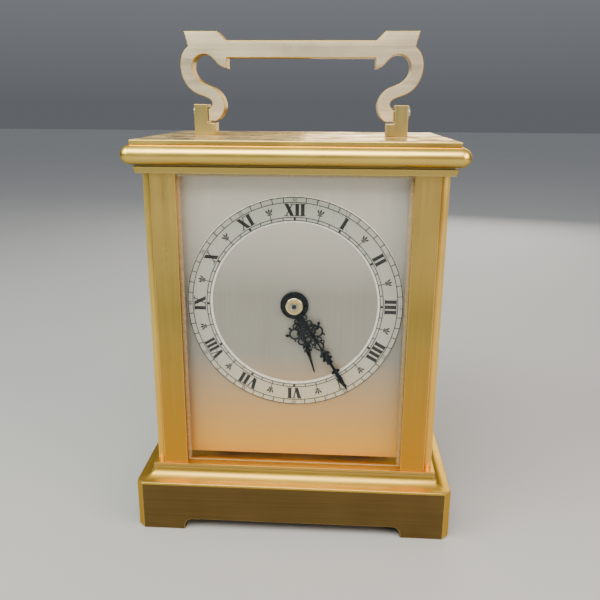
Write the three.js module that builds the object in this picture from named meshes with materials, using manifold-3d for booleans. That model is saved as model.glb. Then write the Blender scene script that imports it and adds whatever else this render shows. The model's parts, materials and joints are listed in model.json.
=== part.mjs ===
// Brass carriage clock with a silvered dial, a folding scroll handle, a glazed back door and a
// spring-driven platform movement. Millimetres, +Z up, the dial faces -Y, floor at z = 0.
import * as THREE from "three";
import { mergeVertices } from "three/addons/utils/BufferGeometryUtils.js";
import Module from "manifold-3d";

const wasm = await Module();
wasm.setup();

// ---- Driving dimensions ----------------------------------------------------------------------
// Plinth
const BASE_WIDTH = 115.5;
const BASE_DEPTH = 87.7;
const BASE_FACE = 19.1; // height of the upright face
const BASE_CHAMFER = 2.4;
const COVE_TOP = 23.0;
const COVE_RUN = 5.6; // how far the cove steps in
const BASE_WALL = 4.0;
const LEDGE_Z = 17.0; // underside of the ledge that carries the base plate
const LEDGE_WIDTH = 8.75;
const FOOT_LENGTH = 17.8;
const FOOT_HEIGHT = 4.25;
const FOOT_ROUND = 3.2;
// Base plate
const STEP_TOP = 24.2;
const SPIGOT_BOTTOM = 20.5; // the base plate's lower part drops into the plinth
const CLEARANCE = 0.3;
// Pillars and glass
const CASE_SET_IN = 6.6; // plinth face to pillar face
const CASE_WIDTH = BASE_WIDTH - 2 * CASE_SET_IN;
const CASE_DEPTH = BASE_DEPTH - 2 * CASE_SET_IN;
const PILLAR_HEIGHT = 106.9;
const PILLAR_FACE = 11.75; // corner to the inner edge, scoop included
const PILLAR_CORE = 6.25;
const PILLAR_LIP = 1.6;
const PILLAR_SCOOP = 3.1;
const GLASS = 1.6;
const GLASS_BEVEL = 1.1;
// Cornice
const FILLET_OUT = 1.9; // the cornice fillets stand proud of the pillars by this much
const FILLET_HEIGHT = 2.8;
const ROUND_OUT = 5.4;
const ROUND_HEIGHT = 6.4;
const TOP_PLATE = 1.6;
const CORNICE_INSET = 7.2; // pillar face to the cornice's inner opening
// Handle
const HANDLE_THICK = 7.0;
const HANDLE_BAR_LOW = 27.3; // heights over the top plate
const HANDLE_BAR_TOP = 33.2;
const FOOT_SET_IN = 17.05; // pillar face to the outer side of the handle's foot
const PIVOT_RADIUS = 1.4;
const LOCK_TALL = 11.15; // handle blocks
const LOCK_LOW = 4.5;
const FOOT_CLEAR = 0.6; // under the handle's foot
const PIVOT_UP = LOCK_LOW + FOOT_CLEAR + HANDLE_THICK / 2;
// Dial and hands
const DIAL_DOWN = 46.2; // hand centre under the cornice
const DIAL_UP = PILLAR_HEIGHT - DIAL_DOWN;
const DIAL_THICK = 1.5;
const RING_OUTER = Math.min(CASE_WIDTH / 2 - 12.65, DIAL_DOWN - 7.7);
const RING_INNER = RING_OUTER - 9.2;
const RING_RAISED = 0.5;
const MINUTE_LENGTH = RING_OUTER - 1.3;
const HOUR_LENGTH = RING_INNER - 2.9;
const MINUTE_ANGLE = 148.2;
const HOUR_ANGLE = 163.6;
// Door
const DOOR_THICK = 3.2;
const DOOR_RAIL = 6.5;
const DOOR_GAP = 0.45;
const KNOB_RADIUS = 2.6;
// Movement
const PLATE_WIDTH = 68;
const PLATE_DOWN = 50.9; // plate bottom under the hand centre
const PLATE_TALL = 78;
const PLATE_THICK = 2.0;
const PLATE_GAP = 38; // between the two plates
const DIAL_SPACE = 9.5; // dial back to the front plate
const ARBOR = 0.9;
const RUNNING = 0.1; // radial play of a pin in its hole

// ---- Derived positions -----------------------------------------------------------------------
const caseX = CASE_WIDTH / 2;
const caseY = CASE_DEPTH / 2;
const corniceZ = STEP_TOP + PILLAR_HEIGHT;
const roundZ = corniceZ + FILLET_HEIGHT;
const topPlateZ = roundZ + ROUND_HEIGHT;
const deckZ = topPlateZ + TOP_PLATE;
const pivotZ = deckZ + PIVOT_UP;
const dialY = -caseY + PILLAR_CORE;
const dialBackY = dialY + DIAL_THICK;
const centreZ = STEP_TOP + DIAL_UP;
const frontY = dialBackY + DIAL_SPACE; // front face of the front plate
const innerY = frontY + PLATE_THICK; // the train lies between innerY and backY
const backY = innerY + PLATE_GAP;
const outerY = backY + PLATE_THICK;
const doorY = caseY - DOOR_THICK;
const footX = caseX - FOOT_SET_IN;
const lockInner = footX - 2.6;
const lockStep = footX + 0.3;
const lockOuter = footX + 5.3;
const plateZ = centreZ - PLATE_DOWN;
const platformZ = plateZ + PLATE_TALL;

// ---- Solids ----------------------------------------------------------------------------------
const rad = THREE.MathUtils.degToRad;

function solidFrom(positions, triangles) {
  const mesh = new wasm.Mesh({ numProp: 3, vertProperties: positions, triVerts: triangles });
  return new wasm.Manifold(mesh);
}

// A closed three.js geometry as a solid that faces outwards.
function solid(geometry) {
  const loose = geometry.index ? geometry.toNonIndexed() : geometry;
  const bare = new THREE.BufferGeometry();
  bare.setAttribute("position", loose.getAttribute("position"));
  const merged = mergeVertices(bare, 1e-4);
  const index = merged.index.array;
  const kept = [];
  for (let i = 0; i < index.length; i += 3) {
    const [a, b, c] = [index[i], index[i + 1], index[i + 2]];
    if (a !== b && b !== c && c !== a) kept.push(a, b, c);
  }
  const positions = merged.attributes.position.array;
  const made = solidFrom(positions, new Uint32Array(kept));
  return made.volume() < 0 ? solidFrom(positions, new Uint32Array(kept.reverse())) : made;
}

const join = (...parts) => parts.flat().reduce((whole, part) => whole.add(part));
const cut = (body, ...tools) => tools.flat().reduce((whole, tool) => whole.subtract(tool), body);

function extrude(points, depth) {
  const shape = new THREE.Shape(points.map(([a, b]) => new THREE.Vector2(a, b)));
  return new THREE.ExtrudeGeometry(shape, { depth, bevelEnabled: false });
}

// Prisms along one axis. The outline is in the other two, in the order x, y, z.
const CYCLE = new THREE.Matrix4().set(0, 0, 1, 0, 1, 0, 0, 0, 0, 1, 0, 0, 0, 0, 0, 1);
const alongZ = (points, from, to) => solid(extrude(points, to - from).translate(0, 0, from));
const alongY = (points, from, to) =>
  solid(extrude(points, to - from).rotateX(Math.PI / 2).translate(0, to, 0));
const alongX = (points, from, to) =>
  solid(extrude(points, to - from).applyMatrix4(CYCLE).translate(from, 0, 0));
const pierced = (along) => (points, from, to, holes = []) =>
  cut(along(points, from, to), holes.map((hole) => along(hole, from - 1, to + 1)));
const prismX = pierced(alongX);
const prismY = pierced(alongY);
const prismZ = pierced(alongZ);

function box(x0, x1, y0, y1, z0, z1) {
  return prismZ([[x0, y0], [x1, y0], [x1, y1], [x0, y1]], z0, z1);
}

// A turned piece. The profile is [radius, distance along the axis] and starts and ends at radius 0.
function turnedY(profile, x, z, sides = 16) {
  const points = profile.map(([r, y]) => new THREE.Vector2(r, y));
  return solid(new THREE.LatheGeometry(points, sides).translate(x, 0, z));
}

function turnedZ(profile, x, y, sides = 16) {
  const points = profile.map(([r, z]) => new THREE.Vector2(r, z));
  return solid(new THREE.LatheGeometry(points, sides).rotateX(Math.PI / 2).translate(x, y, 0));
}

const rod = (radius, from, to) => [[0, from], [radius, from], [radius, to], [0, to]];

// Points on an arc. Angles are clockwise from +b, in degrees.
function arc(a, b, radius, from, to, steps) {
  return Array.from({ length: steps + 1 }, (_, i) => {
    const angle = rad(from + ((to - from) * i) / steps);
    return [a + radius * Math.sin(angle), b + radius * Math.cos(angle)];
  });
}

const circle = (a, b, radius, sides) => arc(a, b, radius, 0, 360, sides).slice(0, -1);

// A stack of chamfered rectangles: each level is [half width, half depth, chamfer, height].
function stack(levels, steps = 1) {
  const around = 4 * (steps + 1);
  const quarters = [[1, -1], [1, 1], [-1, 1], [-1, -1]];
  const corner = ([w, d, c, z], [sx, sy], q) =>
    Array.from({ length: steps + 1 }, (_, i) => {
      const a = rad(90 * (q - 1 + i / steps));
      return [sx * (w - c) + c * Math.cos(a), sy * (d - c) + c * Math.sin(a), z];
    });
  const rings = levels.map((level) => quarters.flatMap((signs, q) => corner(level, signs, q)));
  const positions = rings.flat(2);
  const triangles = [];
  for (let k = 0; k < rings.length - 1; k += 1) {
    for (let i = 0; i < around; i += 1) {
      const [a, b] = [k * around + i, k * around + ((i + 1) % around)];
      triangles.push(a, b, b + around, a, b + around, a + around);
    }
  }
  const last = (rings.length - 1) * around;
  for (let i = 1; i < around - 1; i += 1) triangles.push(0, i + 1, i, last, last + i, last + i + 1);
  return solidFrom(new Float32Array(positions), new Uint32Array(triangles));
}

const mirrorX = (points) => points.map(([x, y]) => [-x, y]);

// ---- The assembly ----------------------------------------------------------------------------
const clock = new THREE.Group();
clock.name = "carriage_clock";

const FINISH = {
  brass: { color: 0xc59a45, metalness: 1, roughness: 0.34 },
  paleBrass: { color: 0xcbb98d, metalness: 1, roughness: 0.36 },
  gilt: { color: 0xd6b05c, metalness: 1, roughness: 0.3 },
  silvered: { color: 0xb4a695, metalness: 0.8, roughness: 0.42 },
  ring: { color: 0xc6bcae, metalness: 0.8, roughness: 0.38 },
  steel: { color: 0x8d9095, metalness: 1, roughness: 0.3 },
  blued: { color: 0x1b2a3c, metalness: 0.9, roughness: 0.35 },
  glass: { color: 0xe8efe9, metalness: 0, roughness: 0.05, transparent: true, opacity: 0.25 },
};

function piece(name, body, finish) {
  const made = body.getMesh();
  const geometry = new THREE.BufferGeometry();
  geometry.setAttribute("position", new THREE.BufferAttribute(made.vertProperties, 3));
  geometry.setIndex(new THREE.BufferAttribute(made.triVerts, 1));
  const faceted = geometry.toNonIndexed();
  faceted.computeVertexNormals();
  const mesh = new THREE.Mesh(faceted, new THREE.MeshStandardMaterial(FINISH[finish]));
  mesh.name = name;
  clock.add(mesh);
}

// ---- Plinth and base plate -------------------------------------------------------------------
// The cut-out between two feet, on one face: outline along the face and up.
function footGap(half) {
  const reach = half - FOOT_LENGTH;
  const shoulder = FOOT_HEIGHT - FOOT_ROUND;
  const right = arc(reach - FOOT_ROUND, shoulder, FOOT_ROUND, 90, 0, 5);
  return [[reach, -1], ...right, ...mirrorX(right).reverse(), [-reach, -1]];
}

const baseX = BASE_WIDTH / 2;
const baseY = BASE_DEPTH / 2;

function plinthLevels() {
  const lip = 0.8;
  const levels = [
    [baseX, baseY, BASE_CHAMFER, 0],
    [baseX, baseY, BASE_CHAMFER, BASE_FACE - lip],
    [baseX - lip / 3, baseY - lip / 3, BASE_CHAMFER - 0.3, BASE_FACE - lip / 3],
    [baseX - lip, baseY - lip, BASE_CHAMFER - 0.6, BASE_FACE],
  ];
  const run = COVE_RUN - lip;
  const rise = COVE_TOP - BASE_FACE;
  for (let i = 1; i <= 6; i += 1) {
    const t = rad(15 * i);
    const inset = lip + run * Math.sin(t);
    const chamfer = (BASE_CHAMFER - 0.6) * (1 - i / 6) + 0.4;
    levels.push([baseX - inset, baseY - inset, chamfer, COVE_TOP - rise * Math.cos(t)]);
  }
  return levels;
}

const ledgeX = baseX - LEDGE_WIDTH;
const ledgeY = baseY - LEDGE_WIDTH;
const hollowX = baseX - BASE_WALL;
const hollowY = baseY - BASE_WALL;
piece(
  "plinth",
  cut(
    stack(plinthLevels()),
    box(-hollowX, hollowX, -hollowY, hollowY, -1, LEDGE_Z),
    box(-ledgeX, ledgeX, -ledgeY, ledgeY, LEDGE_Z - 1, COVE_TOP + 1),
    prismY(footGap(baseX), -baseY - 1, baseY + 1),
    prismX(footGap(baseY), -baseX - 1, baseX + 1),
  ),
  "brass",
);

const stepX = baseX - COVE_RUN;
const stepY = baseY - COVE_RUN;
const spigotX = ledgeX - CLEARANCE;
const spigotY = ledgeY - CLEARANCE;
const hingeX = -caseX + PILLAR_FACE + CLEARANCE + DOOR_THICK / 2;
const hingeY = caseY - DOOR_THICK / 2;
const PIN = 0.9;
piece(
  "base_plate",
  cut(
    join(
      box(-stepX, stepX, -stepY, stepY, COVE_TOP, STEP_TOP),
      box(-spigotX, spigotX, -spigotY, spigotY, SPIGOT_BOTTOM, COVE_TOP),
    ),
    turnedZ(rod(PIN + RUNNING, COVE_TOP - 1, STEP_TOP + 1), hingeX, hingeY),
  ),
  "brass",
);

// ---- Pillars ---------------------------------------------------------------------------------
// Section of a corner pillar. Both coordinates run inwards from the corner.
const scoop = arc(0, 0, PILLAR_SCOOP, 90, 0, 5);
const pillarSection = [
  ...scoop,
  [0, PILLAR_FACE],
  [PILLAR_LIP, PILLAR_FACE],
  [PILLAR_LIP, PILLAR_CORE],
  [PILLAR_CORE, PILLAR_CORE],
  [PILLAR_CORE, PILLAR_LIP],
  [PILLAR_FACE, PILLAR_LIP],
  [PILLAR_FACE, 0],
];
const corners = [
  ["front_left", -1, -1],
  ["front_right", 1, -1],
  ["back_left", -1, 1],
  ["back_right", 1, 1],
];
for (const [where, sx, sy] of corners) {
  const section = pillarSection.map(([u, v]) => [sx * (caseX - u), sy * (caseY - v)]);
  piece("pillar_" + where, prismZ(section, STEP_TOP, corniceZ), "brass");
}

// ---- Glass -----------------------------------------------------------------------------------
const glassX = caseX - PILLAR_CORE - CLEARANCE;
const glassY = caseY - PILLAR_CORE - CLEARANCE;

// A pane whose outer arrises are bevelled along the top and bottom.
function paneSection(outer, inward) {
  const inner = outer + inward * GLASS;
  const shoulder = outer + inward * (GLASS * 0.55);
  return [
    [inner, STEP_TOP],
    [inner, corniceZ],
    [shoulder, corniceZ],
    [outer, corniceZ - GLASS_BEVEL],
    [outer, STEP_TOP + GLASS_BEVEL],
    [shoulder, STEP_TOP],
  ];
}

piece("front_glass", prismX(paneSection(-caseY + PILLAR_LIP, 1), -glassX, glassX), "glass");
piece("left_glass", prismY(paneSection(-caseX + PILLAR_LIP, 1), -glassY, glassY), "glass");
piece("right_glass", prismY(paneSection(caseX - PILLAR_LIP, -1), -glassY, glassY), "glass");

// ---- Cornice and top plate -------------------------------------------------------------------
function corniceLevels() {
  const [x, y] = [caseX + FILLET_OUT, caseY + FILLET_OUT];
  const groove = 0.9;
  const taper = 0.45;
  const levels = [
    [x - taper, y - taper, 0.7, corniceZ],
    [x, y, 0.7, roundZ - 0.5],
    [x - groove, y - groove, 0.4, roundZ - 0.5],
    [x - groove, y - groove, 0.4, roundZ],
  ];
  const bulge = ROUND_OUT - FILLET_OUT;
  for (let i = 0; i <= 8; i += 1) {
    const t = rad(-90 + 22.5 * i);
    const swell = bulge * Math.cos(t);
    const z = roundZ + (ROUND_HEIGHT / 2) * (1 + Math.sin(t));
    levels.push([x + swell, y + swell, Math.max(swell, 0.1), z]);
  }
  return levels;
}

const wellX = caseX - CORNICE_INSET;
const wellY = caseY - CORNICE_INSET;
piece(
  "cornice",
  cut(
    stack(corniceLevels(), 4),
    box(-wellX, wellX, -wellY, wellY, corniceZ - 1, topPlateZ + 1),
    turnedZ(rod(PIN + RUNNING, corniceZ - 1, corniceZ + 2), hingeX, hingeY),
  ),
  "gilt",
);

const deckX = caseX + FILLET_OUT + 0.4;
const deckY = caseY + FILLET_OUT + 0.4;
piece("top_plate", box(-deckX, deckX, -deckY, deckY, topPlateZ, deckZ), "gilt");

// ---- Handle ----------------------------------------------------------------------------------
const thickY = HANDLE_THICK / 2;
// Right half of the plate's outline: distances out from the foot's outer side and heights over the
// top plate. Outside edge, going up.
const footUp = PIVOT_UP - HANDLE_THICK / 2;
const handleOuter = [
  [0, footUp],
  [0, 9.3],
  ...arc(0.8, 11.6, 2.45, 205, 320, 5),
  [1.9, 14.6],
  [4.7, 15.8],
  ...arc(2.8, 24.1, 7.1, 148, 62, 6),
  [7.2, 30.9],
  [7.5, HANDLE_BAR_TOP],
  [8.3, 36.3],
];
const handleTop = [
  [-4.0, 36.3],
  [-5.9, 34.4],
  [-7.1, HANDLE_BAR_TOP],
];
// Right half of the inside edge, from the bar down to the foot.
const handleInner = [
  [-7.0, HANDLE_BAR_LOW],
  [-7.0, 24.0],
  [-4.9, 24.0],
  [-3.8, 26.6],
  ...arc(0.9, 24.1, 4.5, -40, 130, 8),
  [2.1, 19.3],
  [-1.1, 18.2],
  ...arc(-0.5, 10.9, 5.8, -25, -105, 5),
  ...arc(-0.8, 10.0, 5.3, -125, -165, 2),
  [-1.9, footUp],
];
const rightHalf = [...handleInner, ...handleOuter, ...handleTop];
const handleOutline = [
  ...rightHalf.map(([out, up]) => [footX + out, deckZ + up]),
  ...rightHalf.map(([out, up]) => [-footX - out, deckZ + up]).reverse(),
];

// The rear lower edge is rounded about the pivot, so that the handle can fold back.
const heel = [
  ...arc(0, pivotZ, thickY, 90, 180, 6),
  [0, pivotZ - 9],
  [9, pivotZ - 9],
  [9, pivotZ],
];
piece(
  "handle",
  cut(
    prismY(handleOutline, -thickY, thickY),
    prismX(heel, -lockOuter, lockOuter),
    prismX(circle(0, pivotZ, PIVOT_RADIUS + RUNNING, 16), -lockOuter, lockOuter),
  ),
  "paleBrass",
);

for (const [side, s] of [["left", -1], ["right", 1]]) {
  const section = [
    [s * lockInner, deckZ],
    [s * lockOuter, deckZ],
    [s * lockOuter, deckZ + LOCK_TALL],
    [s * lockStep, deckZ + LOCK_TALL],
    [s * lockStep, deckZ + LOCK_LOW],
    [s * lockInner, deckZ + LOCK_LOW],
  ];
  const eye = prismX(circle(0, pivotZ, PIVOT_RADIUS + 0.1, 16), -lockOuter - 1, lockOuter + 1);
  piece("handle_block_" + side, cut(prismY(section, -thickY, thickY), eye), "brass");
  const inner = s * (footX - 3.9);
  const face = s * lockOuter;
  const head = s * (lockOuter + 0.9);
  const shank = prismX(circle(0, pivotZ, PIVOT_RADIUS, 16), Math.min(inner, face), Math.max(inner, face));
  const cap = prismX(circle(0, pivotZ, 2.2, 16), Math.min(face, head), Math.max(face, head));
  piece("handle_pin_" + side, join(shank, cap), "steel");
}

// ---- Dial ------------------------------------------------------------------------------------
const dialX = caseX - PILLAR_LIP - GLASS - 1;
const footSpots = [[-27, -30], [27, -30], [-27, 30], [27, 30]].map(([x, z]) => [x, centreZ + z - 4]);
const HOUR_PIPE = 2.6;
piece(
  "dial_plate",
  cut(
    join(
      box(-dialX, dialX, dialY, dialBackY, STEP_TOP + 1.6, corniceZ - 0.6),
      footSpots.map(([x, z]) => turnedY(rod(1.6, dialBackY - 0.5, frontY), x, z, 12)),
    ),
    turnedY(rod(HOUR_PIPE + 0.4, dialY - 1, dialBackY + 1), 0, centreZ, 20),
  ),
  "silvered",
);
const ringY = dialY - RING_RAISED;
piece(
  "chapter_ring",
  prismY(circle(0, centreZ, RING_OUTER, 64), ringY, dialY, [circle(0, centreZ, RING_INNER, 64)]),
  "ring",
);

// ---- Hands -----------------------------------------------------------------------------------
const HAND = 0.35;
const hourY = ringY - 0.4; // back of the hour hand
const minuteY = hourY - HAND - 0.5; // back of the minute hand
const hourAngle = rad(HOUR_ANGLE);
const minuteAngle = rad(MINUTE_ANGLE);

// Turns a point given along and across a hand to the dial.
function onHand(angle, [along, across]) {
  const [s, c] = [Math.sin(angle), Math.cos(angle)];
  return [along * s + across * c, centreZ + along * c - across * s];
}

// Joins a hand from solid outlines and pierced loops, each loop on both sides of the middle line:
// [along, across, radius, wall, tip of its thorn].
function hand(angle, back, { length, drawn, plates, loops, bore }) {
  const size = length / drawn;
  const place = (points) => points.map(([u, v]) => onHand(angle, [u * size, v * size]));
  const slab = (points) => prismY(place(points), back - HAND, back);
  const both = [1, -1];
  const discs = loops.flatMap(([u, v, r]) => both.map((s) => slab(circle(u, s * v, r, 10))));
  const eyes = loops.flatMap(([u, v, r, wall]) =>
    both.map((s) => prismY(place(circle(u, s * v, r - wall, 7)), back - 1, back + 1)),
  );
  const thorns = loops
    .filter(([, , , , thorn]) => thorn)
    .flatMap(([u, v, r, , [along, across]]) => {
      const [high, low] = [v + r - 0.2, v + r * 0.6];
      return both.map((s) => slab([[u - 0.2, s * high], [u - r * 0.7, s * low], [along, s * across]]));
    });
  const hole = prismY(circle(0, centreZ, bore, 20), back - 1, back + 1);
  return cut(join(plates.map(slab), thorns, cut(join(discs), eyes)), hole);
}

// One edge of a shape that is the same on both sides of the middle line.
const symmetric = (edge) => [...edge, ...edge.map(([u, v]) => [u, -v]).reverse()];

const CANNON = 1.7; // outer radius of the cannon pipe
piece(
  "hour_hand",
  hand(hourAngle, hourY, {
    length: HOUR_LENGTH,
    drawn: 26.4,
    bore: CANNON + 0.25,
    plates: [
      circle(0, 0, 5.0, 28),
      [[4.0, -0.9], [15.0, -0.45], [15.0, 0.45], [4.0, 0.9]],
      [[7.0, -2.8], [8.0, -2.8], [8.0, 2.8], [7.0, 2.8]],
      symmetric([
        [14.0, 0.6], [17.2, 0.6], [18.1, 1.4], [18.5, 0.5], [26.0, 0.22], [26.4, 0],
      ]),
    ],
    loops: [[6.6, 1.4, 1.2, 0.4], [9.0, 3.4, 1.8, 0.6, [8.3, 6.4]], [12.6, 1.5, 1.6, 0.5]],
  }),
  "blued",
);
piece(
  "minute_hand",
  hand(minuteAngle, minuteY, {
    length: MINUTE_LENGTH,
    drawn: 37.2,
    bore: 1.0,
    plates: [
      circle(0, 0, 3.6, 24),
      [[3.0, -0.8], [22.0, -0.5], [22.0, 0.5], [3.0, 0.8]],
      [[11.4, -1.4], [12.6, -1.4], [12.6, 1.4], [11.4, 1.4]],
      symmetric([
        [20.0, 0.4], [22.4, 2.4], [22.9, 1.2], [24.6, 1.8], [25.0, 1.0], [26.6, 1.5], [27.6, 0.5],
        [29.0, 0.45], [31.5, 0.8], [37.2, 0],
      ]),
    ],
    loops: [
      [8.2, 1.4, 1.2, 0.4],
      [12.0, 3.2, 2.05, 0.6, [9.4, 4.9]],
      [16.0, 1.85, 1.5, 0.5, [15.0, 3.9]],
      [18.8, 1.4, 1.1, 0.4, [18.0, 3.0]],
    ],
  }),
  "blued",
);
const collet = [
  [0, minuteY - HAND],
  [3.05, minuteY - HAND],
  [3.05, minuteY - HAND - 0.25],
  [2.5, minuteY - HAND - 0.65],
  [1.1, minuteY - HAND - 0.85],
  [0.8, minuteY - HAND - 0.55],
  [0, minuteY - HAND - 0.55],
];
piece("hand_collet", turnedY(collet, 0, centreZ, 24), "gilt");

// ---- Gears -----------------------------------------------------------------------------------
// Tooth forms: heights over and under the pitch line in modules, widths as shares of the pitch.
// A wheel's gaps come to a point; a pinion's leaves stand apart on a round root.
const WHEEL_TOOTH = { over: 0.8, under: 1.1, tip: 0.1 };
const LEAF_TOOTH = { over: 0.75, under: 1.05, tip: 0.14, root: 0.3 };

// Outline of a gear with a tooth centred on the given angle.
function gear(x, z, teeth, module, tooth, facing) {
  const pitch = (2 * Math.PI) / teeth;
  const radius = (module * teeth) / 2;
  const points = [];
  for (let i = 0; i < teeth; i += 1) {
    const middle = rad(facing) + pitch * i;
    const low = radius - tooth.under * module;
    const high = radius + tooth.over * module;
    const flank = tooth.root ? [[low, -tooth.root / 2]] : [[low, -0.5]];
    const face = tooth.root ? [[low, tooth.root / 2]] : [];
    for (const [r, share] of [...flank, [high, -tooth.tip / 2], [high, tooth.tip / 2], ...face]) {
      const angle = middle + share * pitch;
      points.push([x + r * Math.sin(angle), z + r * Math.cos(angle)]);
    }
  }
  return points;
}

// The openings between the arms of a wheel.
function crossings(x, z, arms, inner, outer, armWidth) {
  return Array.from({ length: arms }, (_, i) => {
    const span = 360 / arms;
    const edge = (r) => THREE.MathUtils.radToDeg(armWidth / 2 / r);
    const [from, to] = [span * i, span * (i + 1)];
    return [
      ...arc(x, z, inner, from + edge(inner), to - edge(inner), 2),
      ...arc(x, z, outer, to - edge(outer), from + edge(outer), 5),
    ];
  });
}

// Direction from one arbor to another, clockwise from +z, in degrees.
const bearing = ([ax, az], [bx, bz]) => THREE.MathUtils.radToDeg(Math.atan2(bx - ax, bz - az));
// A gear of n teeth that meets its mate in this direction shows it a gap.
const gapAt = (direction, n) => direction + 180 / n;

// Where the second of two meshing gears goes, in a given direction from the first.
function meshPoint([x, z], module, teeth, direction) {
  const distance = (module * teeth) / 2;
  return [x + distance * Math.sin(rad(direction)), z + distance * Math.cos(rad(direction))];
}

const GREAT = { module: 0.62, wheel: 72, pinion: 9 };
const CENTRE = { module: 0.65, wheel: 48, pinion: 6 };
const THIRD = { module: 0.55, wheel: 45, pinion: 6 };
const CONTRATE = { module: 0.4, wheel: 60, pinion: 6 };
const MOTION = { module: 0.45, wheel: 36, pinion: 12 };
const HOUR = { module: 0.48, wheel: 36, pinion: 9 };

const centreAt = [0, centreZ];
const barrelAt = meshPoint(centreAt, GREAT.module, GREAT.wheel + GREAT.pinion, 198.6);
const thirdAt = meshPoint(centreAt, CENTRE.module, CENTRE.wheel + CENTRE.pinion, 94.8);
const contrateAt = meshPoint(thirdAt, THIRD.module, THIRD.wheel + THIRD.pinion, -14.5);
const minuteAt = meshPoint(centreAt, MOTION.module, MOTION.wheel + MOTION.pinion, 120);

// Centre arbor: turns once an hour and carries the minute hand.
const greatY = innerY + 2.4;
const centreWheelY = backY - 4.2;
function pinionBody(at, { pinion, module }, y0, y1, mate) {
  return prismY(gear(...at, pinion, module, LEAF_TOOTH, gapAt(bearing(at, mate), pinion)), y0, y1);
}
const collar = (at, y0, y1, r = 2.2) => turnedY(rod(r, y0, y1), ...at, 14);
function wheelBody(at, { wheel, module }, y0, y1, mate, { hub, rim, arm }) {
  const windows = crossings(...at, 4, hub, (wheel * module) / 2 - rim, arm);
  return prismY(gear(...at, wheel, module, WHEEL_TOOTH, bearing(at, mate)), y0, y1, windows);
}
const bore = (at, r, y0, y1) => turnedY(rod(r, y0 - 1, y1 + 1), ...at, 14);

piece(
  "centre_arbor",
  join(
    turnedY(rod(ARBOR, minuteY - 0.25, doorY - 6.05), ...centreAt, 12),
    pinionBody(centreAt, GREAT, greatY - 1, greatY + 3, barrelAt),
    collar(centreAt, centreWheelY - 1.2, centreWheelY),
  ),
  "steel",
);
piece(
  "centre_wheel",
  cut(
    wheelBody(centreAt, CENTRE, centreWheelY, centreWheelY + 1.2, thirdAt, { hub: 3.4, rim: 2.6, arm: 1.8 }),
    bore(centreAt, ARBOR + 0.05, centreWheelY, centreWheelY + 2),
  ),
  "brass",
);
const cannonY = frontY - 1.0;
piece(
  "cannon_pinion",
  cut(
    join(
      turnedY(rod(CANNON, minuteY, cannonY + 0.8), ...centreAt, 20),
      pinionBody(centreAt, MOTION, cannonY - 1.8, cannonY, minuteAt),
    ),
    bore(centreAt, ARBOR + 0.05, minuteY, cannonY + 1),
  ),
  "steel",
);

// Motion work between the dial and the front plate.
piece(
  "minute_wheel_post",
  join(
    turnedY(rod(0.8, dialBackY + 1.5, frontY), ...minuteAt, 12),
    collar(minuteAt, frontY - 0.9, frontY, 1.8),
  ),
  "steel",
);
piece(
  "minute_wheel",
  cut(
    join(
      wheelBody(minuteAt, MOTION, cannonY - 1.4, cannonY - 0.5, centreAt, { hub: 2.9, rim: 2, arm: 1.4 }),
      pinionBody(minuteAt, HOUR, cannonY - 5.2, cannonY - 1.4, centreAt),
    ),
    bore(minuteAt, 1.0, cannonY - 6, cannonY),
  ),
  "brass",
);
const hourWheelY = cannonY - 4.6;
piece(
  "hour_wheel",
  cut(
    join(
      wheelBody(centreAt, HOUR, hourWheelY, hourWheelY + 0.9, minuteAt, { hub: 4, rim: 2, arm: 1.4 }),
      turnedY(rod(HOUR_PIPE, hourY, hourWheelY + 1.6), ...centreAt, 20),
    ),
    turnedY(rod(CANNON + 0.25, hourY - 1, hourWheelY + 3), ...centreAt, 20),
  ),
  "brass",
);

// Going barrel: toothed drum, cap and mainspring.
const drumRadius = (GREAT.wheel * GREAT.module) / 2 - 2.0;
const drumEnd = greatY + 23;
const BARREL_ARBOR = 2.6;
piece(
  "barrel",
  cut(
    join(
      prismY(
        gear(...barrelAt, GREAT.wheel, GREAT.module, WHEEL_TOOTH, bearing(barrelAt, centreAt)),
        greatY,
        greatY + 1.8,
      ),
      turnedY(rod(drumRadius, greatY + 0.9, drumEnd - 1.2), ...barrelAt, 28),
    ),
    turnedY(rod(drumRadius - 1.2, greatY + 1.6, drumEnd), ...barrelAt, 28),
    turnedY(rod(BARREL_ARBOR + 0.2, greatY - 1, drumEnd), ...barrelAt, 20),
  ),
  "brass",
);
piece(
  "barrel_cap",
  cut(
    turnedY(rod(drumRadius, drumEnd - 1.2, drumEnd), ...barrelAt, 28),
    turnedY(rod(BARREL_ARBOR + 0.2, greatY - 1, drumEnd + 1), ...barrelAt, 20),
  ),
  "brass",
);

// A flat ribbon wound from the inner to the outer radius.
function spiral(x, z, inner, outer, turns, width, stepsPerTurn) {
  const steps = Math.round(turns * stepsPerTurn);
  const edge = (offset) =>
    Array.from({ length: steps + 1 }, (_, i) => {
      const angle = (2 * Math.PI * i) / stepsPerTurn;
      const r = inner + ((outer - inner) * i) / steps + offset;
      return [x + r * Math.sin(angle), z + r * Math.cos(angle)];
    });
  return [...edge(-width / 2), ...edge(width / 2).reverse()];
}

piece(
  "mainspring",
  prismY(spiral(...barrelAt, 5, drumRadius - 2, 3, 0.8, 16), greatY + 2.6, drumEnd - 2.2),
  "steel",
);
const square = ([x, z], half, y0, y1) => box(x - half, x + half, y0, y1, z - half, z + half);
piece(
  "winding_arbor",
  join(
    turnedY(rod(1.4, frontY + 0.2, outerY + 2), ...barrelAt, 16),
    turnedY(rod(BARREL_ARBOR, greatY - 0.8, drumEnd + 1), ...barrelAt, 20),
    square(barrelAt, 1.5, outerY + 1, doorY - 2.55),
  ),
  "steel",
);

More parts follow.
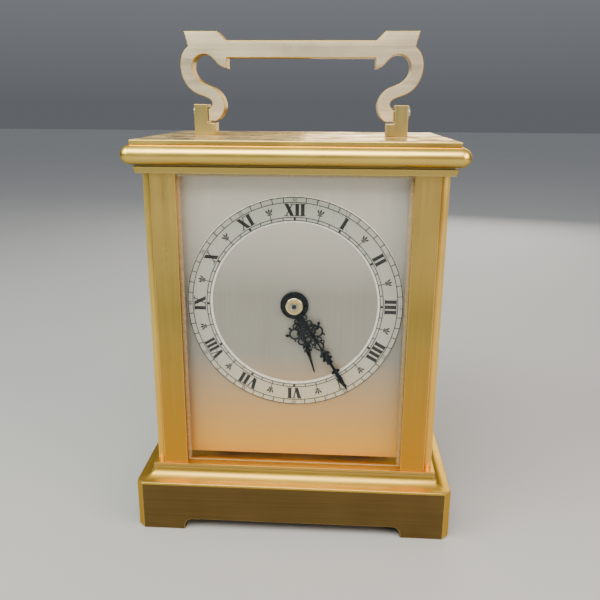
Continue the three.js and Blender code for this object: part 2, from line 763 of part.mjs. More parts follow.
// Ratchet and click on the outside of the back plate.
const RATCHET_TEETH = 24;
const RATCHET = 8.2;
const ratchetY = outerY + 0.5;
const ratchetPoints = Array.from({ length: RATCHET_TEETH }, (_, i) => {
  const step = 360 / RATCHET_TEETH;
  const at = (r, turn) => arc(...barrelAt, r, step * (i + turn), step * (i + turn), 1)[0];
  return [at(RATCHET - 1.1, 0), at(RATCHET, 0.12)];
}).flat();
piece(
  "ratchet_wheel",
  cut(prismY(ratchetPoints, ratchetY, ratchetY + 1.6), square(barrelAt, 1.55, ratchetY - 1, ratchetY + 3)),
  "steel",
);
const clickAt = [barrelAt[0] + 12.9, barrelAt[1] + 6.0];
const clickPoints = [
  [-1.6, 1.9], [-4.0, 1.2], [-6.0, -1.3], [-5.2, -1.5], [-3.2, -1.0], [-1.2, -1.9], [1.3, -1.7],
  [2.1, 0], [1.3, 1.7],
].map(([x, z]) => [clickAt[0] + x, clickAt[1] + z]);
piece(
  "click",
  cut(prismY(clickPoints, ratchetY, ratchetY + 1.6), bore(clickAt, 0.85, ratchetY, ratchetY + 2)),
  "steel",
);
piece(
  "click_screw",
  join(
    turnedY(rod(0.7, outerY, ratchetY + 1.7), ...clickAt, 12),
    turnedY(rod(1.5, ratchetY + 1.7, ratchetY + 2.6), ...clickAt, 14),
  ),
  "steel",
);

// Third wheel
const thirdWheelY = innerY + 21;
piece(
  "third_arbor",
  join(
    turnedY(rod(ARBOR, innerY - 1.6, backY + 1.6), ...thirdAt, 12),
    pinionBody(thirdAt, CENTRE, centreWheelY - 1.4, centreWheelY + 2.6, centreAt),
    collar(thirdAt, thirdWheelY - 1.2, thirdWheelY),
  ),
  "steel",
);
piece(
  "third_wheel",
  cut(
    wheelBody(thirdAt, THIRD, thirdWheelY, thirdWheelY + 1, contrateAt, { hub: 3.2, rim: 2.2, arm: 1.6 }),
    bore(thirdAt, ARBOR + 0.05, thirdWheelY, thirdWheelY + 2),
  ),
  "brass",
);

// Contrate wheel: its teeth stand on its face and turn the upright escape arbor.
const contrateY = innerY + 11;
const contrateRadius = (CONTRATE.wheel * CONTRATE.module) / 2;
const contrateRim = 1.3;
const toothRoot = contrateY + 2.2;
const toothTip = toothRoot + CONTRATE.module * (0.8 + 1.05);
const pitchY = toothTip - 0.8 * CONTRATE.module;

function faceTeeth() {
  const pitch = (2 * Math.PI * contrateRadius) / CONTRATE.wheel;
  const [root, tip] = [(pitch * 0.56) / 2, (pitch * 0.14) / 2];
  const profile = [[-root, toothRoot - 0.3], [root, toothRoot - 0.3], [tip, toothTip], [-tip, toothTip]];
  const from = contrateRadius - contrateRim / 2;
  return Array.from({ length: CONTRATE.wheel }, (_, i) => {
    const tooth = extrude(profile, contrateRim - 0.1).translate(0, 0, from + 0.05);
    return solid(tooth.rotateY(rad((360 * i) / CONTRATE.wheel)).translate(contrateAt[0], 0, contrateAt[1]));
  });
}

piece(
  "contrate_wheel",
  join(
    prismY(
      circle(...contrateAt, contrateRadius + contrateRim / 2, 40),
      contrateY,
      contrateY + 1,
      [
        ...crossings(...contrateAt, 3, 2.8, contrateRadius - contrateRim / 2 - 0.7, 1.5),
        circle(...contrateAt, ARBOR + 0.05, 12),
      ],
    ),
    prismY(
      circle(...contrateAt, contrateRadius + contrateRim / 2, 40),
      contrateY + 0.9,
      toothRoot,
      [circle(...contrateAt, contrateRadius - contrateRim / 2, 40)],
    ),
    faceTeeth(),
  ),
  "brass",
);
piece(
  "contrate_arbor",
  join(
    turnedY(rod(ARBOR, innerY - 1.6, backY + 1.6), ...contrateAt, 12),
    pinionBody(contrateAt, THIRD, thirdWheelY - 1.5, thirdWheelY + 2.5, thirdAt),
    collar(contrateAt, contrateY - 1.2, contrateY),
  ),
  "steel",
);

// Movement plates, with holes for the arbors and for the platform's contrate clearance.
const plateX = PLATE_WIDTH / 2;
const postSpots = [[-29, 5], [29, 5], [-29, 73], [29, 73]].map(([x, up]) => [x, plateZ + up]);
const arborHoles = [
  [centreAt, ARBOR + 0.2],
  [thirdAt, ARBOR + 0.2],
  [contrateAt, ARBOR + 0.2],
  [barrelAt, 1.6],
];
const plateOutline = [[-plateX, plateZ], [plateX, plateZ], [plateX, platformZ], [-plateX, platformZ]];
const plateHoles = arborHoles.map(([at, r]) => circle(...at, r, 14));
piece("front_movement_plate", prismY(plateOutline, frontY, innerY, plateHoles), "brass");
piece("back_movement_plate", prismY(plateOutline, backY, outerY, plateHoles), "brass");
const postNames = ["lower_left", "lower_right", "upper_left", "upper_right"];
postSpots.forEach(([x, z], i) => {
  const waist = [
    [0, innerY], [2.9, innerY], [2.9, innerY + 2], [1.9, innerY + 3], [1.9, backY - 3],
    [2.9, backY - 2], [2.9, backY], [0, backY],
  ];
  piece("movement_post_" + postNames[i], turnedY(waist, x, z, 14), "brass");
});
for (const [side, s] of [["left", -1], ["right", 1]]) {
  const [a, b] = [s * 22, s * 31].sort((p, q) => p - q);
  piece("movement_rail_" + side, box(a, b, frontY, outerY, STEP_TOP, plateZ), "brass");
}

// ---- Platform escapement ---------------------------------------------------------------------
const escapeX = contrateAt[0];
const escapeY = pitchY + (CONTRATE.module * CONTRATE.pinion) / 2;
const leverX = escapeX - 8.2;
const balanceX = leverX - 11.4;
const deckTop = platformZ + 1.8;
piece(
  "platform",
  cut(
    box(-24, 24, frontY, outerY, platformZ, deckTop),
    turnedZ(rod(2.2, platformZ - 1, deckTop + 1), escapeX, escapeY, 18),
  ),
  "gilt",
);

const escapeZ = deckTop + 3.0;
const ESCAPE_TEETH = 15;
const ESCAPE = 5.2;
const escapePoints = Array.from({ length: ESCAPE_TEETH }, (_, i) => {
  const step = 360 / ESCAPE_TEETH;
  const at = (r, turn) => arc(escapeX, escapeY, r, step * (i + turn), step * (i + turn), 1)[0];
  return [at(ESCAPE - 1.4, 0), at(ESCAPE - 1.5, 0.35), at(ESCAPE, 0.62), at(ESCAPE, 0.75)];
}).flat();
piece(
  "escape_wheel",
  prismZ(escapePoints, escapeZ, escapeZ + 0.6, [
    ...crossings(escapeX, escapeY, 4, 1.7, ESCAPE - 2.1, 0.8),
    circle(escapeX, escapeY, 0.65, 12),
  ]),
  "brass",
);
const pinionLow = contrateAt[1] + contrateRadius - contrateRim / 2 - 0.3;
const escapeFacing = 180 + 180 / CONTRATE.pinion;
const escapeLeaves = gear(escapeX, escapeY, CONTRATE.pinion, CONTRATE.module, LEAF_TOOTH, escapeFacing);
piece(
  "escape_arbor",
  join(
    turnedZ(rod(0.6, pinionLow - 0.4, escapeZ + 3.0), escapeX, escapeY, 12),
    prismZ(escapeLeaves, pinionLow, pinionLow + contrateRim + 0.6),
    turnedZ(rod(1.3, escapeZ - 0.8, escapeZ), escapeX, escapeY, 12),
  ),
  "steel",
);

// Lever with its fork towards the balance and its pallets beside the escape wheel.
const onLever = ([x, y]) => [leverX + x, escapeY + y];
const leverArm = [
  [-8.9, -1.3], [-7.4, -1.0], [-6.6, -0.5], [-1.6, -0.6],
  [-1.2, -1.7], [1.7, -4.6], [3.1, -4.3], [2.7, -3.4],
  [1.6, -1.0], [1.6, 1.0], [2.7, 3.4], [3.1, 4.3], [1.7, 4.6], [-1.2, 1.7], [-1.6, 0.6], [-6.6, 0.5],
  [-7.4, 1.0], [-8.9, 1.3], [-8.9, 0.7], [-7.6, 0], [-8.9, -0.7],
].map(onLever);
piece(
  "pallet_lever",
  join(
    prismZ(leverArm, escapeZ - 0.1, escapeZ + 0.8),
    turnedZ(rod(0.5, deckTop + 0.2, escapeZ + 3.0), leverX, escapeY, 10),
  ),
  "steel",
);

const cockUnder = escapeZ + 3.2;
piece(
  "escape_cock",
  join(
    box(leverX - 1.6, escapeX + 8.2, escapeY - 1.6, escapeY + 1.6, cockUnder, cockUnder + 1.0),
    box(escapeX + 5.8, escapeX + 8.2, escapeY - 4, escapeY + 4, deckTop, cockUnder + 1.0),
  ),
  "gilt",
);

const balanceZ = cockUnder + 1.6;
const BALANCE = 9.6;
const balanceTop = deckTop + 10.9;
piece(
  "balance_wheel",
  prismZ(circle(balanceX, escapeY, BALANCE, 40), balanceZ, balanceZ + 1.6, [
    ...crossings(balanceX, escapeY, 2, 2.0, BALANCE - 1.4, 1.6),
    circle(balanceX, escapeY, 0.75, 12),
  ]),
  "gilt",
);
piece(
  "balance_staff",
  join(
    turnedZ(rod(0.7, deckTop + 0.2, balanceTop), balanceX, escapeY, 12),
    turnedZ(rod(1.7, balanceZ - 0.8, balanceZ), balanceX, escapeY, 16),
    turnedZ(rod(2.0, escapeZ + 1.1, escapeZ + 1.8), balanceX, escapeY, 16),
  ),
  "steel",
);
const springZ = balanceZ + 2.4;
const cockZ = springZ + 1.4;
const cockPlan = [
  [-15.5, -6], [-10, -6], [-2.5, -3.2], ...arc(0, 0, 3.6, 205, -25, 6), [-2.5, 3.2], [-10, 6], [-15.5, 6],
];
piece(
  "balance_cock",
  join(
    box(balanceX - 15.5, balanceX - 10.6, escapeY - 6, escapeY + 6, deckTop, cockZ),
    prismZ(
      cockPlan.map(([x, y]) => [balanceX + x, escapeY + y]),
      cockZ,
      cockZ + 1.4,
    ),
  ),
  "gilt",
);
piece(
  "hairspring",
  join(
    prismZ(spiral(balanceX, escapeY, 1.8, 5.6, 3, 0.28, 16), springZ, springZ + 0.5),
    box(balanceX - 0.5, balanceX + 0.5, escapeY + 5.1, escapeY + 6.1, springZ, cockZ),
  ),
  "blued",
);

// ---- Back door -------------------------------------------------------------------------------
const doorX0 = hingeX - DOOR_THICK / 2;
const doorX1 = caseX - PILLAR_FACE - CLEARANCE;
const doorZ0 = STEP_TOP + DOOR_GAP;
const doorZ1 = corniceZ - DOOR_GAP;
// Plan of the door: the hinge edge is rounded about the pins.
const stile = [
  ...arc(hingeX, hingeY, DOOR_THICK / 2, 0, -180, 8),
  [doorX1, doorY],
  [doorX1, caseY],
];
const paneX0 = doorX0 + DOOR_RAIL;
const paneX1 = doorX1 - DOOR_RAIL;
const paneZ0 = doorZ0 + DOOR_RAIL;
const paneZ1 = doorZ1 - DOOR_RAIL;
piece(
  "door_frame",
  join(
    cut(
      prismZ(stile, doorZ0, doorZ1),
      box(paneX0, paneX1, doorY - 1, caseY + 1, paneZ0, paneZ1),
      box(paneX0 - 1.2, paneX1 + 1.2, doorY - 1, doorY + GLASS, paneZ0 - 1.2, paneZ1 + 1.2),
    ),
    turnedZ(rod(PIN, doorZ0 - DOOR_GAP - 0.9, doorZ0 + 1), hingeX, hingeY, 14),
    turnedZ(rod(PIN, doorZ1 - 1, doorZ1 + DOOR_GAP + 1.4), hingeX, hingeY, 14),
  ),
  "brass",
);
piece(
  "door_glass",
  box(paneX0 - 1.1, paneX1 + 1.1, doorY, doorY + GLASS, paneZ0 - 1.1, paneZ1 + 1.1),
  "glass",
);
const knob = [
  [0, caseY], [1.3, caseY], [1.2, caseY + 1.8], [KNOB_RADIUS, caseY + 2.8], [KNOB_RADIUS, caseY + 4.3],
  [1.6, caseY + 5.3], [0, caseY + 5.5],
];
piece("door_knob", turnedY(knob, doorX1 - DOOR_RAIL / 2, (doorZ0 + doorZ1) / 2, 16), "gilt");

export default clock;
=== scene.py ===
"""Fine shapes and finishes of a brass carriage clock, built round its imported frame.

Sizes are in millimetres. Meshes are written in metres.
"""

from __future__ import annotations

import json
import logging
import math
from collections.abc import Sequence
from dataclasses import dataclass, field
from enum import Enum
from typing import Any

import bmesh
import bpy
import numpy as np
from mathutils import Matrix, Vector
from mathutils.geometry import delaunay_2d_cdt

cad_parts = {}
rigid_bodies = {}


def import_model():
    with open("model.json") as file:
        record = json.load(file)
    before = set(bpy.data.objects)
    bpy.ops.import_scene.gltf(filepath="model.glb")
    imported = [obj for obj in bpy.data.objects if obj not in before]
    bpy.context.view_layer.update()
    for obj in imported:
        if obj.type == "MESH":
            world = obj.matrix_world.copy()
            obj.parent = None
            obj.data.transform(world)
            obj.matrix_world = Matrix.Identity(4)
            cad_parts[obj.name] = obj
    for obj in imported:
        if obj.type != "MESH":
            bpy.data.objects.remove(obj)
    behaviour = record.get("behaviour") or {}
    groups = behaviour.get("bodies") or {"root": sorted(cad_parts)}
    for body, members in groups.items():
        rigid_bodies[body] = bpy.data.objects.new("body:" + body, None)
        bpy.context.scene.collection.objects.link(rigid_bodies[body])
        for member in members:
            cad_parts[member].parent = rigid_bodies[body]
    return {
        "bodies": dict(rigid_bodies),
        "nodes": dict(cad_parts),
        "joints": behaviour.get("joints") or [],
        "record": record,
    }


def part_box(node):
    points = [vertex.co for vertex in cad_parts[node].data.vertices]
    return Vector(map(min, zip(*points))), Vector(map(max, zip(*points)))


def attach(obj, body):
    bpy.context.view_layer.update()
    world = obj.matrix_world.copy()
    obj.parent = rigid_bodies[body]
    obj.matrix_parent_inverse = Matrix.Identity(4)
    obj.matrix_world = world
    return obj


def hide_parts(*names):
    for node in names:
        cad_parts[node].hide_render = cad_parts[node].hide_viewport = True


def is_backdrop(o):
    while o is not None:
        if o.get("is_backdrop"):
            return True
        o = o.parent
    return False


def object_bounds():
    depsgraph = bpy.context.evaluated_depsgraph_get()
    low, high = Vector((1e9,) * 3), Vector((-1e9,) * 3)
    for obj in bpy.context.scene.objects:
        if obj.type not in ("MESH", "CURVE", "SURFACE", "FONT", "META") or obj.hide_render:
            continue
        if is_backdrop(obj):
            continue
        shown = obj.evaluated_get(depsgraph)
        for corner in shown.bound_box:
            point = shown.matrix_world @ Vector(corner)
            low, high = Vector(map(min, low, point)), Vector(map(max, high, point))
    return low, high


MM = 0.001
LOG = logging.getLogger("carriage_clock")

Colour = tuple[float, float, float]


class Axis(Enum):
    """The axis a shape is carried along; the value picks x, y and z from (a, b, distance)."""

    X = (2, 0, 1)
    Y = (0, 2, 1)
    Z = (0, 1, 2)

    def place(self, flat: np.ndarray, distance: np.ndarray) -> np.ndarray:
        """Joins outline coordinates and distances into points in the frame's order."""
        return np.concatenate([flat, distance], axis=-1)[..., list(self.value)]


class Grain(Enum):
    """How a metal was brushed; the value is the pattern's rate along x, y and z, per metre."""

    ALONG_X = (26.0, 1500.0, 1500.0)
    ALONG_Y = (1500.0, 26.0, 1500.0)
    ALONG_Z = (1500.0, 1500.0, 26.0)
    FINE = (900.0, 900.0, 900.0)


# ---- Surfaces --------------------------------------------------------------------------


@dataclass
class Surface:
    """Points in millimetres, the faces that join them, and the finish number of each face."""

    points: np.ndarray
    faces: list[np.ndarray]
    finish: int | np.ndarray = 0


def unit(vectors: np.ndarray) -> np.ndarray:
    """Vectors divided by their lengths."""
    return vectors / np.maximum(np.linalg.norm(vectors, axis=-1, keepdims=True), 1e-12)


def grid(
    points: np.ndarray, wrap_u: bool = False, wrap_v: bool = False, caps: bool = False
) -> Surface:
    """Joins a grid of points with quads.

    Face (i, j) has the corners (i, j), (i+1, j), (i+1, j+1) and (i, j+1).

    Args:
        points: Array of shape (u, v, 3).
        wrap_u: Join the last row to the first.
        wrap_v: Join the last column to the first.
        caps: Close the first and the last row with one face each.

    Returns:
        The surface.
    """
    rows, columns = points.shape[:2]
    i = np.arange(rows if wrap_u else rows - 1)[:, None]
    j = np.arange(columns if wrap_v else columns - 1)[None, :]
    below, beside = (i + 1) % rows, (j + 1) % columns
    quads = np.stack(
        [
            i * columns + j,
            below * columns + j,
            below * columns + beside,
            i * columns + beside,
        ],
        axis=-1,
    ).reshape(-1, 4)
    faces = [quads]
    if caps:
        faces.append(np.arange(columns)[None, :])
        faces.append(np.arange((rows - 1) * columns, rows * columns)[None, ::-1])
    return Surface(points.reshape(-1, 3), faces)


def mitres(outline: np.ndarray) -> np.ndarray:
    """Outward mitre of each corner: (n1 + n2) / (1 + n1.n2) for its two edges' normals."""
    before = unit(outline - np.roll(outline, 1, axis=0))
    after = unit(np.roll(outline, -1, axis=0) - outline)
    x, y = outline.T
    side = np.sign(np.sum(x * np.roll(y, -1) - np.roll(x, -1) * y))
    first = side * np.stack([before[:, 1], -before[:, 0]], axis=1)
    second = side * np.stack([after[:, 1], -after[:, 0]], axis=1)
    opening = np.maximum(1.0 + np.sum(first * second, axis=1), 0.35)
    return (first + second) / opening[:, None]


def rounded(
    outline: np.ndarray, radius: float, steps: int = 3, least_turn: float = 20.0
) -> np.ndarray:
    """Replaces each sharp corner c by the curve (1-t)^2 p + 2t(1-t) c + t^2 q.

    Args:
        outline: Closed outline, shape (n, 2).
        radius: How far p and q lie from the corner, at most.
        steps: Pieces per curve.
        least_turn: Corners that turn less than this, in degrees, stay.

    Returns:
        The softened outline.
    """
    before = outline - np.roll(outline, 1, axis=0)
    after = np.roll(outline, -1, axis=0) - outline
    shorter = np.minimum(np.linalg.norm(before, axis=1), np.linalg.norm(after, axis=1))
    straight = math.cos(math.radians(least_turn))
    turns = np.sum(unit(before) * unit(after), axis=1) < straight
    reach = np.where(turns, np.minimum(radius, 0.4 * shorter), 0.0)[:, None]
    start, end = outline - unit(before) * reach, outline + unit(after) * reach
    t = np.linspace(0.0, 1.0, steps + 1)[None, :, None]
    curve = (
        (1 - t) ** 2 * start[:, None]
        + 2 * t * (1 - t) * outline[:, None]
        + t**2 * end[:, None]
    )
    points = curve.reshape(-1, 2)
    apart = np.linalg.norm(points - np.roll(points, 1, axis=0), axis=1) > 1e-5
    return points[apart]


def eased(low: float, high: float, ease: float, steps: int = 3) -> np.ndarray:
    """Stations of a prism whose arrises are quarter circles of radius e.

    At turn t the distance is low + e (1 - cos t) and the inset e (1 - sin t), and so from high.

    Args:
        low: Distance of the first face.
        high: Distance of the last face.
        ease: Radius of the arrises.
        steps: Pieces per arris.

    Returns:
        Rows of distance and inset.
    """
    t = np.linspace(0.0, np.pi / 2, steps + 1)
    near = np.stack([low + ease * (1 - np.cos(t)), ease * (1 - np.sin(t))], axis=1)
    far = np.stack([high - ease * (1 - np.cos(t)), ease * (1 - np.sin(t))], axis=1)
    return np.concatenate([near, far[::-1]])


def prism(outline: np.ndarray, stations: np.ndarray, axis: Axis) -> Surface:
    """Carries an outline along an axis: at each station it lies at p - inset * mitre."""
    flat = outline[None] - stations[:, 1][:, None, None] * mitres(outline)[None]
    distance = np.broadcast_to(stations[:, 0][:, None, None], flat.shape[:2] + (1,))
    shape = grid(axis.place(flat, distance), wrap_v=True)
    cap = triangles(outline)
    last = (len(stations) - 1) * len(outline)
    shape.faces += [cap, cap[:, ::-1] + last]
    return shape


def triangles(outline: np.ndarray) -> np.ndarray:
    """Triangles that fill an outline, whichever way it bends, joining its own points only."""
    points = [Vector(p) for p in outline.tolist()]
    _, _, faces, sources, _, _ = delaunay_2d_cdt(
        points, [], [list(range(len(points)))], 1, 1e-6
    )
    return np.array([[sources[corner][0] for corner in face] for face in faces])


def turned(
    profile: Sequence[Sequence[float]] | np.ndarray,
    centre: tuple[float, float],
    axis: Axis,
    sides: int = 48,
    ring: bool = False,
) -> Surface:
    """Turns a profile about an axis: (a + r sin t, b + r cos t, d) for each radius r and d.

    Args:
        profile: Rows of radius and distance, from radius 0 to radius 0 unless it is a ring.
        centre: Where the axis stands in the other two coordinates.
        axis: The axis.
        sides: Steps round the axis.
        ring: The profile closes on itself.

    Returns:
        The closed surface.
    """
    profile = np.asarray(profile, float)
    t = np.linspace(0.0, 2 * np.pi, sides, endpoint=False)
    around_axis = np.stack([np.sin(t), np.cos(t)], axis=-1)
    flat = np.asarray(centre) + profile[:, 0][:, None, None] * around_axis[None]
    distance = np.broadcast_to(profile[:, 1][:, None, None], flat.shape[:2] + (1,))
    return grid(axis.place(flat, distance), wrap_u=ring, wrap_v=True)


CORNERS_ONLY = np.array([[-np.inf, 0.0], [np.inf, 0.0]])


def around(
    half: tuple[float, float],
    levels: np.ndarray,
    stations: tuple[np.ndarray, np.ndarray] = (CORNERS_ONLY, CORNERS_ONLY),
    steps: int = 0,
) -> np.ndarray:
    """Carries a moulding round a rectangle whose corners are cut or rounded by c.

    On a side with normal n and direction d a point lies at n (across + out) + d s, where s is
    the station, held within the side's length + out - c. After it the corner's points lie at
    n (across + out - c) + d (length + out - c) + c (n cos t + d sin t).

    Args:
        half: Half sizes of the rectangle.
        levels: Rows of out, c, height, and 1 where the height follows the stations' lift.
        stations: Rows of position and lift, for the sides along x and for those along y.
        steps: Points within each corner; without any it is a straight cut.

    Returns:
        Points of shape (levels, stations, 3).
    """
    out, chamfer, height, follows = levels.T
    sides = []
    directions = [((0, -1), (1, 0)), ((1, 0), (0, 1)), ((0, 1), (-1, 0)), ((-1, 0), (0, -1))]
    for turn, (normal, along) in enumerate(directions):
        across, length = half[1 - turn % 2], half[turn % 2]
        position, lift = stations[turn % 2].T
        reach = (length + out - chamfer)[:, None]
        s = np.clip(np.broadcast_to(position, (len(out), len(position))), -reach, reach)
        away = np.broadcast_to((across + out)[:, None], s.shape)
        flat = away[..., None] * np.array(normal) + s[..., None] * np.array(along)
        rise = height[:, None] + follows[:, None] * lift[None, :]
        sides.append(np.concatenate([flat, rise[..., None]], axis=-1))
        t = np.linspace(0.0, np.pi / 2, steps + 2)[1:-1]
        a = (across + out - chamfer)[:, None] + chamfer[:, None] * np.cos(t)
        b = reach + chamfer[:, None] * np.sin(t)
        flat = a[..., None] * np.array(normal) + b[..., None] * np.array(along)
        rise = np.broadcast_to(height[:, None], a.shape)
        sides.append(np.concatenate([flat, rise[..., None]], axis=-1))
    return np.concatenate(sides, axis=1)


def moulding(
    rows: Sequence[Sequence[float]] | np.ndarray, chamfer: float | np.ndarray = 0.06
) -> np.ndarray:
    """Levels for around() from rows of out and height, with one corner size or one each."""
    table = np.asarray(rows, float)
    corner = np.broadcast_to(np.asarray(chamfer, float), len(table))
    return np.stack([table[:, 0], corner, table[:, 1], 0 * corner], axis=1)


def edged(shape: Surface, edge: int | np.ndarray = 1) -> Surface:
    """Gives a prism's sides another finish, or one each, and its two ends the first."""
    shape.finish = np.zeros(sum(map(len, shape.faces)), int)
    shape.finish[: len(shape.faces[0])] = edge
    return shape


def slabs(quads: np.ndarray, low: float, high: float) -> Surface:
    """A closed box over each four-cornered outline in x and z, from y = low to y = high."""
    count = len(quads)
    layers = [
        np.stack([quads[..., 0], np.full(quads.shape[:2], y), quads[..., 1]], axis=-1)
        for y in (low, high)
    ]
    points = np.concatenate(layers, axis=1).reshape(-1, 3)
    box = np.array(
        [
            [0, 1, 2, 3],
            [7, 6, 5, 4],
            [0, 4, 5, 1],
            [1, 5, 6, 2],
            [2, 6, 7, 3],
            [3, 7, 4, 0],
        ]
    )
    faces = (np.arange(count)[:, None, None] * 8 + box[None]).reshape(-1, 4)
    return Surface(points, [faces])


def arc(
    a: float, b: float, radius: float, start: float, end: float, steps: int
) -> np.ndarray:
    """Points (a + r sin t, b + r cos t) for t from start to end, in degrees."""
    t = np.radians(np.linspace(start, end, steps + 1))
    return np.stack([a + radius * np.sin(t), b + radius * np.cos(t)], axis=1)


def flowing(knots: np.ndarray, steps: int = 5) -> np.ndarray:
    """A smooth open curve through knots, both ends included (a Catmull-Rom spline)."""
    ends = 2 * knots[[0, -1]] - knots[[1, -2]]
    padded = np.concatenate([ends[:1], knots, ends[1:]])
    t = np.linspace(0.0, 1.0, steps, endpoint=False)[:, None]
    runs = [
        b
        + 0.5 * (c - a) * t
        + (a - 2.5 * b + 2.0 * c - 0.5 * d) * t**2
        + 0.5 * (3.0 * b - a - 3.0 * c + d) * t**3
        for a, b, c, d in zip(padded, padded[1:], padded[2:], padded[3:])
    ]
    return np.concatenate([*runs, knots[-1:]])


# ---- Finishes --------------------------------------------------------------------------


class ShaderWriter:
    """Adds nodes to a new material and joins them."""

    def __init__(self, name: str) -> None:
        """Starts an empty material that reads Object coordinates."""
        self.material = bpy.data.materials.new(name)
        self.material.use_nodes = True
        self.tree = self.material.node_tree
        self.tree.nodes.clear()
        self.point = self.node("ShaderNodeTexCoord").outputs["Object"]

    def node(
        self, kind: str, inputs: dict[str | int, Any] | None = None, **settings: Any
    ) -> bpy.types.Node:
        """Adds a node.

        Args:
            kind: Its type.
            inputs: Values or sockets for its inputs.
            **settings: Its own properties.

        Returns:
            The node.
        """
        made = self.tree.nodes.new(kind)
        for key, value in settings.items():
            setattr(made, key, value)
        for key, value in (inputs or {}).items():
            if isinstance(value, bpy.types.NodeSocket):
                self.tree.links.new(value, made.inputs[key])
            else:
                made.inputs[key].default_value = value
        return made

    def noise(
        self,
        rate: tuple[float, float, float],
        detail: float = 3.0,
        distortion: float = 0.0,
        shift: float = 0.0,
    ) -> bpy.types.NodeSocket:
        """Noise whose pattern changes at a rate along each axis, per metre."""
        mapped = self.node(
            "ShaderNodeMapping",
            {"Vector": self.point, "Location": (shift, shift, shift), "Scale": rate},
        )
        return self.node(
            "ShaderNodeTexNoise",
            {
                "Vector": mapped.outputs[0],
                "Scale": 1.0,
                "Detail": detail,
                "Distortion": distortion,
            },
        ).outputs[0]

    def remap(
        self,
        value: bpy.types.NodeSocket,
        source: tuple[float, float],
        target: tuple[float, float] = (0.0, 1.0),
    ) -> bpy.types.NodeSocket:
        """Carries a value from one range to another and holds it there."""
        return self.node(
            "ShaderNodeMapRange",
            {
                "Value": value,
                "From Min": source[0],
                "From Max": source[1],
                "To Min": target[0],
                "To Max": target[1],
            },
        ).outputs[0]

    def calc(self, operation: str, a: Any, b: Any) -> bpy.types.NodeSocket:
        """One sum of two values."""
        return self.node("ShaderNodeMath", {0: a, 1: b}, operation=operation).outputs[0]

    def mix(self, factor: Any, first: Any, second: Any) -> bpy.types.NodeSocket:
        """A colour between two colours."""
        values = [
            (*v, 1.0) if isinstance(v, tuple) and len(v) == 3 else v
            for v in (first, second)
        ]
        return self.node(
            "ShaderNodeMix", {0: factor, 6: values[0], 7: values[1]}, data_type="RGBA"
        ).outputs[2]

    def height(self) -> bpy.types.NodeSocket:
        """Height over the floor, in metres."""
        return self.node("ShaderNodeSeparateXYZ", {0: self.point}).outputs["Z"]

    def by_height(
        self, colour: Any, other: Colour, start: float, end: float, most: float = 1.0
    ) -> bpy.types.NodeSocket:
        """Carries a colour towards another between two heights in millimetres."""
        share = self.remap(self.height(), (start * MM, end * MM), (0.0, most))
        return self.mix(share, colour, other)

    def bump(
        self, height: bpy.types.NodeSocket, depth_mm: float
    ) -> bpy.types.NodeSocket:
        """A normal from a height pattern."""
        return self.node(
            "ShaderNodeBump", {"Strength": 1.0, "Distance": depth_mm * MM, "Height": height}
        ).outputs[0]

    # Edge mask for pale arrises: edge wear and painted highlight.
    def rubbed_edges(self, radius_mm: float) -> bpy.types.NodeSocket:
        """1 on an arris and 0 on a flat: how far a rounded normal turns from the face's own."""
        soft = self.node("ShaderNodeBevel", {"Radius": radius_mm * MM}, samples=4)
        face = self.node("ShaderNodeNewGeometry").outputs["Normal"]
        turn = self.node(
            "ShaderNodeVectorMath", {0: soft.outputs[0], 1: face}, operation="DOT_PRODUCT"
        ).outputs["Value"]
        return self.remap(turn, (0.995, 0.86))

    def finish(self, shader: bpy.types.NodeSocket) -> bpy.types.Material:
        """Joins the shader to the output and returns the material."""
        self.node("ShaderNodeOutputMaterial", {"Surface": shader})
        return self.material


@dataclass(frozen=True)
class BrushedMetal:
    """Lacquered metal with brush lines, cloudy tone, arrises paled by edge wear and painted
    highlight, and, where given, painted light shifting its colour towards its foot and head.
    """

    name: str
    body: Colour
    deep: Colour
    arris: Colour
    grain: Grain
    roughness: tuple[float, float] = (0.24, 0.38)
    cloud_mm: float = 16.0
    line_mm: float = 0.012
    line_tone: float = 0.3
    # foot and head: painted light, colours the metal shifts to towards its foot and its head.
    foot: Colour | None = None
    foot_span: tuple[float, float] = (24.0, 90.0)
    head: Colour | None = None
    head_span: tuple[float, float] = (80.0, 131.0)
    lacquer: float = 0.2
    lacquer_roughness: float = 0.18
    # Arrises paled partly by edge wear and partly by painted highlight.
    rubbed: float = 0.75
    rubbed_mm: float = 0.5

    def build(self) -> bpy.types.Material:
        """Makes the material."""
        w = ShaderWriter(self.name)
        lines = w.noise(self.grain.value, detail=4.0)
        broad = w.noise(tuple(r / 3.5 for r in self.grain.value), detail=2.0, shift=3.1)
        cloud = w.noise((1000.0 / self.cloud_mm,) * 3, detail=4.0, shift=7.7)
        tone = w.calc(
            "ADD",
            w.remap(cloud, (0.35, 0.68), (0.0, 1.0 - self.line_tone)),
            w.remap(lines, (0.3, 0.7), (0.0, self.line_tone)),
        )
        colour = w.mix(tone, self.deep, self.body)
        # Painted light: the colour shifts towards the foot and head colours with height.
        if self.foot is not None:
            low, high = self.foot_span
            colour = w.by_height(colour, self.foot, high, low)
        if self.head is not None:
            low, high = self.head_span
            colour = w.by_height(colour, self.head, low, high)
        # Pale arrises: edge wear and painted highlight along every edge.
        rubbed = w.calc("MULTIPLY", w.rubbed_edges(self.rubbed_mm), self.rubbed)
        colour = w.mix(rubbed, colour, self.arris)
        sheen = w.calc("MULTIPLY", w.calc("ADD", cloud, broad), 0.5)
        height = w.calc("ADD", w.calc("MULTIPLY", lines, 0.7), broad)
        shader = w.node(
            "ShaderNodeBsdfPrincipled",
            {
                "Base Color": colour,
                "Metallic": 1.0,
                "Roughness": w.remap(sheen, (0.35, 0.65), self.roughness),
                "Normal": w.bump(height, self.line_mm),
                "Specular Tint": colour,
                "Coat Weight": self.lacquer,
                "Coat Roughness": self.lacquer_roughness,
            },
        )
        return w.finish(shader.outputs[0])


